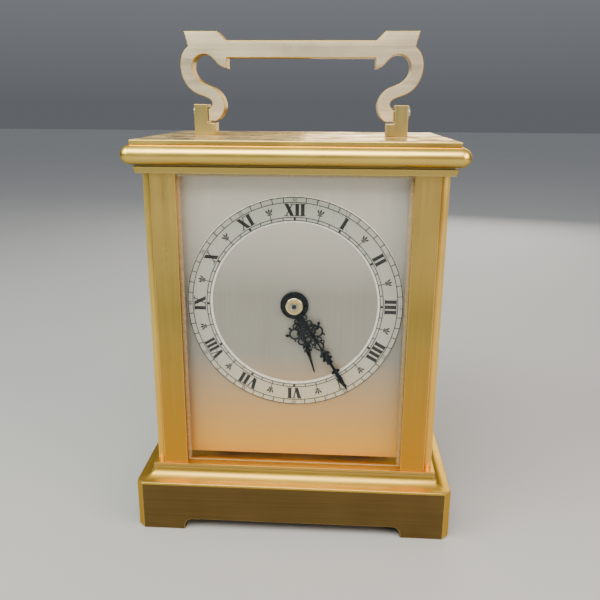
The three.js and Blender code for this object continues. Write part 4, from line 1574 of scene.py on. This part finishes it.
@dataclass
class Dial:
    """The silvered plate, the chapter ring and everything printed on it."""

    bench: Bench
    pipe: float = 3.0
    ink: float = 0.03
    outer_line: float = 38.05
    minute_line: float = 36.3
    quarter_line: float = 31.25
    inner_line: float = 30.2
    line: float = 0.28
    numeral_height: float = 4.2
    widest_numeral: float = 7.6
    figure_height: float = 1.75
    plate_thick: float = 1.5
    ring_width: float = 9.2
    cast_foot: float = 1.6
    feet_place: tuple[float, float, float] = (27.0, 30.0, 4.0)
    inner_bevel: float = 0.8
    outer_bevel: float = 0.38

    def build(self) -> None:
        """Makes the plate, the ring and the print."""
        self.plate_box = node_box("dial_plate")
        self.ring_box = node_box("chapter_ring")
        self.centre = self.ring_box.middle[2]
        self.plate()
        self.ring()
        self.print()

    def plate(self) -> None:
        """The plate: at each angle a section runs from the pipe's hole out to the rectangle."""
        box = self.plate_box
        back = box.low[1] + self.plate_thick
        corner_angles = np.arctan2(
            np.array([1, 1, -1, -1]) * box.high[0],
            np.array([box.high[2], box.low[2], box.low[2], box.high[2]]) - self.centre,
        )
        even_angles = np.linspace(-np.pi, np.pi, 96, endpoint=False)
        t = np.sort(np.concatenate([even_angles, corner_angles]))
        s, c = np.sin(t), np.cos(t)
        to_side = box.high[0] / np.maximum(abs(s), 1e-9)
        to_end = np.where(c > 0, box.high[2] - self.centre, self.centre - box.low[2])
        edge = np.minimum(to_side, to_end / np.maximum(abs(c), 1e-9))
        hole = np.full_like(edge, self.pipe)
        radii = np.stack([hole, hole + 0.2, edge - 0.25, edge, edge, hole])
        depth = np.array([0.2, 0.0, 0.0, 0.25, back - box.low[1], back - box.low[1]])
        points = np.stack(
            [
                radii * s,
                np.broadcast_to((box.low[1] + depth)[:, None], radii.shape),
                self.centre + radii * c,
            ],
            axis=-1,
        )
        r, end = self.cast_foot, box.high[1]
        foot = [[0, back], [r, back], [r, end], [0, end]]
        across, up, down = self.feet_place
        feet = [
            turned(foot, (x, self.centre + z - down), Axis.Y, 24)
            for x in (-across, across)
            for z in (-up, up)
        ]
        surfaces = [grid(points, wrap_u=True, wrap_v=True), *feet]
        self.bench.piece(
            "dial_plate_body",
            surfaces,
            [DIAL_SILVER],
            "case",
            ["dial_plate"],
            "silvered",
        )

    def ring(self) -> None:
        """The chapter ring, its two edges bevelled."""
        front, back = self.ring_box.low[1], self.ring_box.high[1]
        outer = self.ring_box.high[0]
        inner = outer - self.ring_width
        profile = [
            [inner, back],
            [inner, back - 0.08],
            [inner + self.inner_bevel, front],
            [outer - self.outer_bevel, front],
            [outer, back - 0.15],
            [outer, back],
        ]
        surface = turned(profile, (0.0, self.centre), Axis.Y, 192, ring=True)
        surface.finish = np.repeat([1, 1, 0, 1, 1, 1], 192)
        self.bench.piece(
            "chapter_ring_body",
            [surface],
            [RING_SILVER, RIM_SILVER],
            "case",
            ["chapter_ring"],
            "ring",
        )

    def on_dial(self, points: np.ndarray, degrees: np.ndarray | float) -> np.ndarray:
        """Places points given across and out from the centre at clock angles.

        (a, r) goes to (r sin t + a cos t, centre + r cos t - a sin t).

        Args:
            points: Points (..., 2).
            degrees: One angle, or one for each first index.

        Returns:
            Points in x and z.
        """
        t = np.radians(np.asarray(degrees, float))
        t = t.reshape(t.shape + (1,) * (points.ndim - 1 - t.ndim))
        a, r = points[..., 0], points[..., 1]
        x = r * np.sin(t) + a * np.cos(t)
        z = self.centre + r * np.cos(t) - a * np.sin(t)
        return np.stack([x, z], axis=-1)

    def print(self) -> None:
        """Lines, minute and quarter marks, numerals and half-hour marks, printed in one."""
        front = self.ring_box.low[1]
        low, high = front - self.ink, front + 0.05
        radii = (self.outer_line, self.minute_line, self.quarter_line, self.inner_line)
        lines = [
            turned(
                self.bar(r, low, high, self.line), (0.0, self.centre), Axis.Y, 240, ring=True
            )
            for r in radii
        ]
        minutes = np.arange(60)
        minutes = minutes[minutes % 5 > 0] * 6.0
        tick = self.bar(0.0, self.minute_line, self.outer_line, 0.3)
        quads = [self.on_dial(np.repeat(tick[None], len(minutes), 0), minutes)]
        quarters = np.arange(48)
        quarters = quarters[quarters % 4 > 0] * 7.5
        tick = self.bar(0.0, self.inner_line, self.quarter_line, 0.32)
        quads.append(self.on_dial(np.repeat(tick[None], len(quarters), 0), quarters))
        hours = np.arange(12) * 30.0
        middle = (self.inner_line + self.quarter_line) / 2
        diamond = np.array(
            [[0, middle - 0.75], [0.52, middle], [0, middle + 0.75], [-0.52, middle]]
        )
        quads.append(self.on_dial(np.repeat(diamond[None], 12, 0), hours))
        for stroke in self.half_hour():
            quads.append(self.on_dial(np.repeat(stroke[None], 12, 0), hours + 15.0))
        names = "XII I II III IIII V VI VII VIII IX X XI".split()
        for name, angle in zip(names, hours):
            quads.append(self.on_dial(self.numeral(name), np.array(angle)))
        surfaces = [slabs(np.concatenate(quads), low, high), *lines]
        for minute in range(5, 65, 5):
            surfaces.append(self.figures(str(minute), minute * 6.0, low, high))
        self.bench.piece("dial_print", surfaces, [INK], "case")

    @staticmethod
    def bar(a: float, low: float, high: float, width: float) -> np.ndarray:
        """An upright stroke as four corners."""
        w = width / 2
        return np.array([[a - w, low], [a + w, low], [a + w, high], [a - w, high]])

    @staticmethod
    def slanted(
        start: tuple[float, float], end: tuple[float, float], width: float
    ) -> np.ndarray:
        """A slanted stroke with level ends, as four corners."""
        (a, r), (b, q), w = start, end, width / 2
        return np.array([[a - w, r], [a + w, r], [b + w, q], [b - w, q]])

    @staticmethod
    def leaf(
        start: tuple[float, float], end: tuple[float, float], width: float
    ) -> np.ndarray:
        """A kite from one point to another, widest at two thirds."""
        p, q = np.array(start), np.array(end)
        across = unit((q - p)[None])[0][::-1] * np.array([-1.0, 1.0]) * width / 2
        belly = p + (q - p) * 0.66
        return np.array([p, belly - across, q, belly + across])

    def half_hour(self) -> list[np.ndarray]:
        """A three-pronged mark on a stem."""
        foot = self.quarter_line
        return [
            self.bar(0.0, foot, foot + 2.2, 0.26),
            self.leaf((0.0, foot + 1.7), (0.0, foot + 4.1), 0.7),
            self.leaf((0.0, foot + 1.7), (1.3, foot + 3.7), 0.66),
            self.leaf((0.0, foot + 1.7), (-1.3, foot + 3.7), 0.66),
            self.leaf((0.0, foot + 1.5), (0.9, foot + 2.0), 0.5),
            self.leaf((0.0, foot + 1.5), (-0.9, foot + 2.0), 0.5),
        ]

    def numeral(self, name: str) -> np.ndarray:
        """The strokes of a Roman numeral, its foot towards the centre.

        Args:
            name: Letters I, V and X.

        Returns:
            Four-cornered strokes, shape (n, 4, 2).
        """
        tall = self.numeral_height / 2
        middle = (self.minute_line + self.quarter_line) / 2
        advance = {"I": 1.9, "V": 3.3, "X": 3.5}
        widths = [advance[letter] for letter in name]
        squeeze = min(1.0, self.widest_numeral / sum(widths))
        strokes = []
        pen = -sum(widths) / 2
        for letter, width in zip(name, widths):
            at = pen + width / 2
            pen += width
            if letter == "I":
                strokes.append(self.bar(at, -tall, tall, 1.25))
                spots = [(at, tall), (at, -tall)]
                reach = 1.9
            elif letter == "V":
                strokes.append(self.slanted((at - 1.0, tall), (at + 0.15, -tall), 1.3))
                strokes.append(self.slanted((at + 1.15, tall), (at + 0.2, -tall), 0.42))
                spots = [(at - 1.0, tall), (at + 1.15, tall)]
                reach = 1.5
            else:
                strokes.append(self.slanted((at - 1.0, tall), (at + 1.0, -tall), 1.35))
                strokes.append(self.slanted((at + 1.1, tall), (at - 1.1, -tall), 0.4))
                spots = [(at + a, b) for a in (-1.05, 1.05) for b in (tall, -tall)]
                reach = 1.4
            for spot, level in spots:
                inward = level - math.copysign(0.24, level)
                low, high = sorted((level, inward))
                strokes.append(self.bar(spot, low, high, reach))
        return np.array(strokes) * np.array([squeeze, 1.0]) + np.array([0.0, middle])

    def figures(self, text: str, angle: float, low: float, high: float) -> Surface:
        """Small minute figures between the two outer lines."""
        curve = bpy.data.curves.new("figures", "FONT")
        curve.body = text
        curve.align_x = "CENTER"
        curve.align_y = "CENTER"
        curve.size = self.figure_height
        curve.resolution_u = 2
        curve.extrude = (high - low) / 2
        holder = bpy.data.objects.new("figures", curve)
        bpy.context.scene.collection.objects.link(holder)
        graph = bpy.context.evaluated_depsgraph_get()
        mesh = bpy.data.meshes.new_from_object(holder.evaluated_get(graph))
        flat = np.zeros(len(mesh.vertices) * 3)
        mesh.vertices.foreach_get("co", flat)
        flat = flat.reshape(-1, 3)
        faces = [np.array([list(p.vertices)]) for p in mesh.polygons]
        bpy.data.objects.remove(holder)
        bpy.data.curves.remove(curve)
        bpy.data.meshes.remove(mesh)
        middle = (self.outer_line + self.minute_line) / 2
        placed = self.on_dial(flat[:, :2] + np.array([0.0, middle]), angle)
        depth = (low + high) / 2 - flat[:, 2]
        points = np.stack([placed[:, 0], depth, placed[:, 1]], axis=1)
        return Surface(points, faces)


@dataclass
class Hand:
    """A pierced blued hand: rings, leaves and bars joined along a middle line."""

    bench: Bench
    node: str
    body: str
    degrees: float
    hub: float
    bore: float
    rings: tuple[tuple[float, float, float, float], ...]
    leaves: tuple[tuple[float, float, float, float, float], ...]
    bars: tuple[tuple[tuple[float, float], ...], ...]

    def build(self) -> None:
        """Makes the hand in its node's place and thickness."""
        box = node_box(self.node)
        self.centre = node_box("chapter_ring").middle[2]
        self.front, self.back = box.low[1], box.high[1]
        surfaces = [self.boss()]
        for along, across, radius, wall in self.rings:
            for side in (1, -1) if across else (1,):
                surfaces.append(self.loop(along, side * across, radius, wall))
        for u, v, tip_u, tip_v, width in self.leaves:
            for side in (1, -1) if v or tip_v else (1,):
                p, q = np.array([u, side * v]), np.array([tip_u, side * tip_v])
                surfaces.append(self.plate(self.kite(p, q, width)))
        for edge in self.bars:
            upper = np.array(edge)
            lower = (upper * np.array([1.0, -1.0]))[::-1]
            outline = np.concatenate([upper, lower])
            steps = np.linalg.norm(outline - np.roll(outline, 1, axis=0), axis=1)
            surfaces.append(self.plate(outline[steps > 1e-4]))
        self.bench.piece(
            self.node + "_pierced", surfaces, [BLUED], self.body, [self.node], "blued"
        )

    @staticmethod
    def kite(p: np.ndarray, q: np.ndarray, width: float) -> np.ndarray:
        """A leaf from p to q: half width w/2 sin(pi s)^0.7, fullest near its middle."""
        s = np.linspace(0.0, 1.0, 9)
        across = unit((q - p)[None])[0][::-1] * np.array([-1.0, 1.0])
        half = (width / 2 * np.sin(np.pi * s) ** 0.7)[:, None] * across
        spine = p + (q - p) * s[:, None]
        return np.concatenate([spine + half, (spine - half)[1:-1][::-1]])

    def placed(self, flat: np.ndarray) -> np.ndarray:
        """Carries points along and across the hand to x and z."""
        t = math.radians(self.degrees)
        u, v = flat[..., 0], flat[..., 1]
        x = u * math.sin(t) + v * math.cos(t)
        z = self.centre + u * math.cos(t) - v * math.sin(t)
        return np.stack([x, z], axis=-1)

    def plate(self, outline: np.ndarray) -> Surface:
        """A flat shape with eased arrises."""
        stations = eased(self.front, self.back, 0.06, 2)
        return prism(self.placed(outline), stations, Axis.Y)

    def loop(self, along: float, across: float, radius: float, wall: float) -> Surface:
        """A ring with a softened square section."""
        x, z = self.placed(np.array([along, across]))
        inner, e = radius - wall, 0.07
        profile = [
            [inner, self.front + e],
            [inner + e, self.front],
            [radius - e, self.front],
            [radius, self.front + e],
            [radius, self.back - e],
            [radius - e, self.back],
            [inner + e, self.back],
            [inner, self.back - e],
        ]
        return turned(profile, (x, z), Axis.Y, 36, ring=True)

    def boss(self) -> Surface:
        """The round boss about the bore."""
        e = 0.1
        profile = [
            [self.bore, self.back],
            [self.bore, self.front],
            [self.hub - e, self.front],
            [self.hub, self.front + e],
            [self.hub, self.back],
        ]
        return turned(profile, (0.0, self.centre), Axis.Y, 72, ring=True)


@dataclass
class Hands:
    """Both hands and the collet that holds them."""

    bench: Bench

    def build(self) -> None:
        """Makes the three pieces."""
        hour = Hand(
            self.bench,
            "hour_hand",
            "hour_hand",
            163.6,
            5.0,
            1.95,
            rings=(
                (6.0, 0.9, 0.95, 0.42),
                (7.7, 1.5, 1.4, 0.58),
                (10.3, 2.8, 2.1, 0.62),
                (10.5, 0.95, 1.05, 0.45),
                (13.6, 1.2, 1.5, 0.58),
                (15.3, 0.55, 0.75, 0.36),
            ),
            leaves=(
                (10.6, 4.5, 9.9, 6.4, 1.0),
                (8.6, 3.4, 7.4, 4.4, 0.8),
                (12.2, 3.4, 13.2, 3.3, 0.7),
                (6.8, 0.3, 8.6, 2.4, 0.9),
                (15.2, 0.3, 16.4, 1.5, 0.9),
                (16.8, 0.2, 17.9, 1.5, 0.9),
                (15.6, 0.0, 20.0, 0.0, 1.6),
            ),
            bars=(
                ((4.0, 0.9), (8.0, 0.62), (15.0, 0.48), (17.4, 0.48)),
                ((17.0, 0.5), (18.4, 0.6), (21.0, 0.4), (25.6, 0.26), (26.4, 0.02)),
            ),
        )
        minute = Hand(
            self.bench,
            "minute_hand",
            "minute_hand",
            148.2,
            3.6,
            1.0,
            rings=(
                (5.4, 1.0, 1.0, 0.45),
                (8.1, 1.15, 1.35, 0.52),
                (12.0, 2.15, 2.25, 0.64),
                (11.6, 0.85, 0.95, 0.4),
                (14.9, 1.35, 0.95, 0.45),
                (17.2, 0.0, 1.75, 0.52),
                (16.4, 1.9, 0.7, 0.4),
                (19.7, 0.0, 0.95, 0.42),
            ),
            leaves=(
                (10.4, 3.6, 9.2, 4.7, 1.1),
                (9.0, 2.0, 10.4, 3.2, 0.9),
                (13.4, 3.7, 14.7, 3.8, 0.7),
                (20.2, 0.3, 21.3, 2.0, 1.2),
                (22.1, 0.4, 23.2, 1.9, 1.2),
                (24.0, 0.3, 24.9, 1.2, 0.9),
                (27.9, 0.3, 29.0, 1.6, 1.1),
                (13.6, 0.0, 15.6, 0.0, 1.4),
            ),
            bars=(
                ((3.0, 0.8), (10.0, 0.6), (14.6, 0.48), (15.7, 0.5)),
                ((15.5, 0.3), (19.2, 0.28), (20.0, 0.28)),
                (
                    (19.8, 0.5),
                    (21.4, 1.25),
                    (23.6, 1.1),
                    (25.6, 0.45),
                    (27.6, 0.5),
                    (28.8, 1.0),
                    (29.8, 0.55),
                    (31.6, 0.85),
                    (33.5, 0.65),
                    (37.2, 0.02),
                ),
            ),
        )
        hour.build()
        minute.build()
        self.collet()

    def collet(self) -> None:
        """A stepped, domed washer with a countersunk hole."""
        box = node_box("hand_collet")
        back, front = box.high[1], box.low[1]
        r = box.high[0]
        t = np.linspace(0.0, np.pi / 2, 7)
        shoulder = np.stack(
            [r - 0.4 * (1 - np.cos(t)), back - 0.35 - 0.3 * np.sin(t)], axis=1
        )
        profile = np.concatenate(
            [
                [[0.0, back], [r, back], [r, back - 0.35]],
                shoulder,
                [
                    [r - 0.8, back - 0.62],
                    [r - 0.95, back - 0.4],
                    [1.45, back - 0.4],
                    [1.4, front + 0.04],
                    [1.3, front],
                    [0.95, front],
                    [0.85, front + 0.05],
                    [0.75, back - 0.3],
                    [0.0, back - 0.3],
                ],
            ]
        )
        surface = turned(profile, (box.middle[0], box.middle[2]), Axis.Y, 64)
        # The recessed ring takes the darker wheel brass and the hole the black finish: painted
        # shade in the recess and the hole.
        bands = np.zeros(len(profile) - 1, int)
        bands[-8:-6] = 1
        bands[-5:-2] = 2
        bands[-2:] = 3
        surface.finish = np.repeat(bands, 64)
        self.bench.piece(
            "hand_collet_body",
            [surface],
            [KNOB_GILT, WHEEL_BRASS, STEEL, SHADE],
            "minute_hand",
            ["hand_collet"],
            "bright_brass",
        )


@dataclass
class Door:
    """The glazed back door, its pins and its knob."""

    bench: Bench
    rail: float = 6.5
    pin: float = 0.9
    gap: float = 0.45
    arris: float = 0.3

    def build(self) -> None:
        """Makes the frame, the pane and the knob."""
        frame = node_box("door_frame")
        inner, outer = frame.low[1], frame.high[1]
        left, right = frame.low[0], frame.high[0]
        pillar = node_box("pillar_back_left")
        low, high = pillar.low[2] + self.gap, pillar.high[2] - self.gap
        thick = outer - inner
        middle = (inner + outer) / 2
        bend = arc(left + thick / 2, middle, thick / 2, 0, -180, 16)
        flat = [[left + self.rail, inner], [left + self.rail, outer]]
        hinge = np.concatenate([bend, flat])
        lock = np.array(
            [
                [right - self.rail, inner],
                [right, inner],
                [right, outer],
                [right - self.rail, outer],
            ]
        )
        stations = eased(low, high, self.arris, 2)
        surfaces = [
            prism(rounded(hinge, self.arris), stations, Axis.Z),
            prism(rounded(lock, self.arris), stations, Axis.Z),
        ]
        ends = np.array([[left + self.rail, 0.0], [right - self.rail, 0.0]])
        for z0, z1 in ((low, low + self.rail), (high - self.rail, high)):
            outline = np.array([[inner, z0], [outer, z0], [outer, z1], [inner, z1]])
            surfaces.append(prism(rounded(outline, self.arris), ends, Axis.X))
        for z0, z1 in ((low - 0.44, low + 0.5), (high - 0.5, high + 0.44)):
            profile = [[0, z0], [self.pin, z0], [self.pin, z1], [0, z1]]
            surfaces.append(turned(profile, (left + thick / 2, middle), Axis.Z, 20))
        self.bench.piece(
            "door_frame_body", surfaces, [DOOR_BRASS], "door", ["door_frame"], "brass"
        )
        self.glass(left + self.rail, right - self.rail, low + self.rail, high - self.rail)
        self.knob()

    def glass(self, left: float, right: float, low: float, high: float) -> None:
        """The pane, bevelled round its outer face inside the frame's opening."""
        box = node_box("door_glass")
        half = ((right - left) / 2 - 0.02, (high - low) / 2 - 0.02)
        rows = [[0.0, box.low[1]], [0.0, box.high[1] - 0.7], [-2.6, box.high[1]]]
        points = around(half, moulding(rows))
        points = points[..., [0, 2, 1]] + np.array(
            [(left + right) / 2, 0.0, (low + high) / 2]
        )
        shape = grid(points, wrap_v=True, caps=True)
        self.bench.piece(
            "door_glass_pane", [shape], [CLEAR_GLASS], "door", ["door_glass"], "glass"
        )

    def knob(self) -> None:
        """A turned button on a waisted neck."""
        box = node_box("door_knob")
        base, tip, r = box.low[1], box.high[1], box.size[0] / 2
        t = np.radians(np.linspace(-70.0, 90.0, 15))
        middle = base + (tip - base) * 0.66
        button = np.stack([r * np.cos(t), middle + (tip - middle) * np.sin(t)], axis=1)
        neck = [[0.0, 0.0], [1.9, 0.0], [1.9, 0.35], [1.2, 0.7], [1.1, 1.3]]
        neck = np.array(neck) + np.array([0.0, base])
        surface = turned(
            np.concatenate([neck, button]), (box.middle[0], box.middle[2]), Axis.Y, 40
        )
        self.bench.piece(
            "door_knob_body", [surface], [KNOB_GILT], "door", ["door_knob"], "bright_brass"
        )


@dataclass
class Movement:
    """The movement: packed wheels and plates with their finishes, and turned posts."""

    bench: Bench
    head: tuple[float, float, float] = (2.6, 0.5, 0.55)

    def build(self) -> None:
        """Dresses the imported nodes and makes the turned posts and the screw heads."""
        bench = self.bench
        bench.dress(
            [
                "front_movement_plate",
                "back_movement_plate",
                "movement_rail_left",
                "movement_rail_right",
            ],
            MOVEMENT_BRASS,
        )
        bench.dress(
            [
                "centre_wheel",
                "minute_wheel",
                "hour_wheel",
                "barrel",
                "barrel_cap",
                "third_wheel",
                "contrate_wheel",
                "escape_wheel",
            ],
            WHEEL_BRASS,
        )
        bench.dress(
            [
                "centre_arbor",
                "cannon_pinion",
                "minute_wheel_post",
                "mainspring",
                "winding_arbor",
                "ratchet_wheel",
                "click",
                "click_screw",
                "third_arbor",
                "contrate_arbor",
                "escape_arbor",
                "pallet_lever",
                "balance_staff",
            ],
            STEEL,
        )
        bench.dress(["platform", "escape_cock", "balance_cock", "balance_wheel"], GILT)
        bench.dress(["hairspring"], BLUED)
        posts = [
            "movement_post_" + where
            for where in ("lower_left", "lower_right", "upper_left", "upper_right")
        ]
        for node in posts:
            self.post(node)
        self.screws([node_box(node).middle for node in posts])

    def screws(self, places: Sequence[np.ndarray]) -> None:
        """Domed screw heads with slots on the back plate, one behind each post.

        Args:
            places: Middles of the posts.
        """
        back = node_box("back_movement_plate").high[1]
        t = np.linspace(0.0, np.pi / 2, 7)
        r, edge, rise = self.head
        dome = np.stack([r * np.cos(t), back + edge + rise * np.sin(t)], axis=1)
        profile = np.concatenate([[[0.0, back], [r, back]], dome])
        surfaces = [turned(profile, (p[0], p[2]), Axis.Y, 40) for p in places]
        long, wide = r * 0.82, 0.3
        for turn, p in enumerate(places):
            a = 0.5 + 0.9 * turn
            spin = np.array([[math.cos(a), -math.sin(a)], [math.sin(a), math.cos(a)]])
            slot = np.array([[-long, -wide], [long, -wide], [long, wide], [-long, wide]])
            quad = slot @ spin + p[[0, 2]]
            low = back + edge + rise * 0.4
            # Each slot is a dark strip on the dome: painted shade standing in for the cut slot.
            strip = slabs(quad[None], low, back + edge + rise + 0.01)
            strip.finish = 1
            surfaces.append(strip)
        self.bench.piece("back_plate_screws", surfaces, [BLUED_HEAD, SHADE], "case")

    def post(self, node: str) -> None:
        """A waisted post between the plates."""
        box = node_box(node)
        y0, y1 = box.low[1], box.high[1]
        r = box.size[2] / 2
        t = np.linspace(0.0, 1.0, 9)
        waist = r - (r - 1.9) * t**0.6
        near = np.stack([waist, y0 + 2.2 + 2.4 * t], axis=1)
        far = np.stack([waist[::-1], y1 - 4.6 + 2.4 * t], axis=1)
        foot = [[0.0, y0], [r, y0], [r, y0 + 2.0]]
        head = [[r, y1 - 2.0], [r, y1], [0.0, y1]]
        profile = np.concatenate([foot, near, far, head])
        surface = turned(profile, (box.middle[0], box.middle[2]), Axis.Y, 40)
        self.bench.piece(
            node + "_turned", [surface], [MOVEMENT_BRASS], "case", [node], "brass"
        )


@dataclass(frozen=True)
class Panel:
    """A square lamp panel that faces the clock's middle."""

    name: str
    place: tuple[float, float, float]
    size: float
    watts: float
    colour: Colour
    target: tuple[float, float, float] = (0.0, 0.0, 85.0)

    def build(self) -> None:
        """Hangs the lamp; it lights the clock and isn't seen itself."""
        data = bpy.data.lights.new(self.name, "AREA")
        data.size = self.size * MM
        data.energy = self.watts
        data.color = self.colour
        lamp = bpy.data.objects.new(self.name, data)
        bpy.context.scene.collection.objects.link(lamp)
        place = np.array(self.place, float)
        ahead = unit((np.array(self.target) - place)[None])[0]
        right = unit(np.cross(ahead, [0.0, 0.0, 1.0])[None])[0]
        up = np.cross(right, ahead)
        lamp.matrix_world = pose(right, up, ahead, place)
        lamp.visible_camera = False


PANELS = (
    Panel("key", (-440, -260, 480), 420, 4.5, (0.93, 1.0, 0.82)),
    Panel("warm", (470, -300, 360), 400, 4.0, (1.0, 0.8, 0.64)),
    Panel("front", (-40, -430, 640), 420, 5.0, (1.0, 0.98, 0.94)),
    Panel("back", (160, 640, 300), 420, 2.4, (1.0, 0.95, 0.84)),
)


@dataclass
class Studio:
    """The floor, the light and the camera."""

    bench: Bench
    lens: float = 39.97
    sensor: float = 36.0
    place: tuple[float, float, float] = (15.249, -256.807, 152.721)
    pitch: float = 0.284
    yaw: float = 0.059
    roll: float = 0.006
    floor_half: float = 4000.0
    horizon: Colour = (0.2, 0.21, 0.23)
    zenith: Colour = (0.78, 0.82, 0.88)
    zenith_from: float = 0.8
    strength: float = 0.6

    def build(self) -> None:
        """Sets the stage."""
        self.floor()
        self.light()
        self.camera()

    def floor(self) -> None:
        """A wide level floor under the feet."""
        t = np.linspace(-1.0, 1.0, 9) * self.floor_half
        x, y = np.meshgrid(t, t, indexing="ij")
        made = self.bench.mesh("floor", [grid(np.stack([x, y, 0 * x - 0.05], axis=-1))])
        made.data.materials.append(self.bench.material(FLOOR))
        made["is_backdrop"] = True

    def light(self) -> None:
        """Even pale surroundings and the soft panels."""
        world = bpy.data.worlds.new("studio")
        world.use_nodes = True
        tree = world.node_tree
        background = tree.nodes["Background"]
        place = tree.nodes.new("ShaderNodeTexCoord")
        split = tree.nodes.new("ShaderNodeSeparateXYZ")
        ramp = tree.nodes.new("ShaderNodeValToRGB")
        ramp.color_ramp.elements[0].color = (*self.horizon, 1.0)
        ramp.color_ramp.elements[1].color = (*self.zenith, 1.0)
        ramp.color_ramp.elements[1].position = self.zenith_from
        tree.links.new(place.outputs["Generated"], split.inputs[0])
        tree.links.new(split.outputs["Z"], ramp.inputs[0])
        tree.links.new(ramp.outputs[0], background.inputs["Color"])
        background.inputs["Strength"].default_value = self.strength
        bpy.context.scene.world = world
        for panel in PANELS:
            panel.build()

    def camera(self) -> None:
        """The camera: forward turns with pitch and yaw, then the picture turns with roll."""
        cos, sin = math.cos, math.sin
        spin = np.array(
            [[cos(self.yaw), -sin(self.yaw), 0], [sin(self.yaw), cos(self.yaw), 0], [0, 0, 1]]
        )
        ahead = spin @ np.array([0.0, cos(self.pitch), -sin(self.pitch)])
        level = spin @ np.array([1.0, 0.0, 0.0])
        above = np.cross(level, ahead)
        right = cos(self.roll) * level + sin(self.roll) * above
        up = -sin(self.roll) * level + cos(self.roll) * above
        data = bpy.data.cameras.new("camera")
        data.lens = self.lens
        data.sensor_width = self.sensor
        data.clip_start = 0.01
        made = bpy.data.objects.new("camera", data)
        bpy.context.scene.collection.objects.link(made)
        made.matrix_world = pose(right, up, ahead, np.array(self.place))
        bpy.context.scene.camera = made


def pose(
    right: np.ndarray, up: np.ndarray, ahead: np.ndarray, place: np.ndarray
) -> Matrix:
    """Matrix of a camera or lamp with these directions, at a place in millimetres."""
    table = np.eye(4)
    table[:3, 0], table[:3, 1], table[:3, 2] = right, up, -ahead
    table[:3, 3] = place * MM
    return Matrix(table.tolist())


def corners() -> list[list[float]]:
    """The lowest and highest corner of all that is shown, as plain lists."""
    bpy.context.view_layer.update()
    return [list(corner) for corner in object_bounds()]


def main() -> None:
    """Builds the clock round its frame."""
    logging.basicConfig(level=logging.INFO, format="%(name)s %(message)s")
    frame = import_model()
    packed = corners()
    bench = Bench(frame["nodes"])
    for assembly in (Plinth, Pillars, Glazing, Cornice, Handle, Dial, Hands, Door, Movement):
        assembly(bench).build()
        LOG.info("%s done", assembly.__name__)
    Studio(bench).build()
    {"cad": packed, "visual": corners()}


if __name__ == "__main__":
    main()
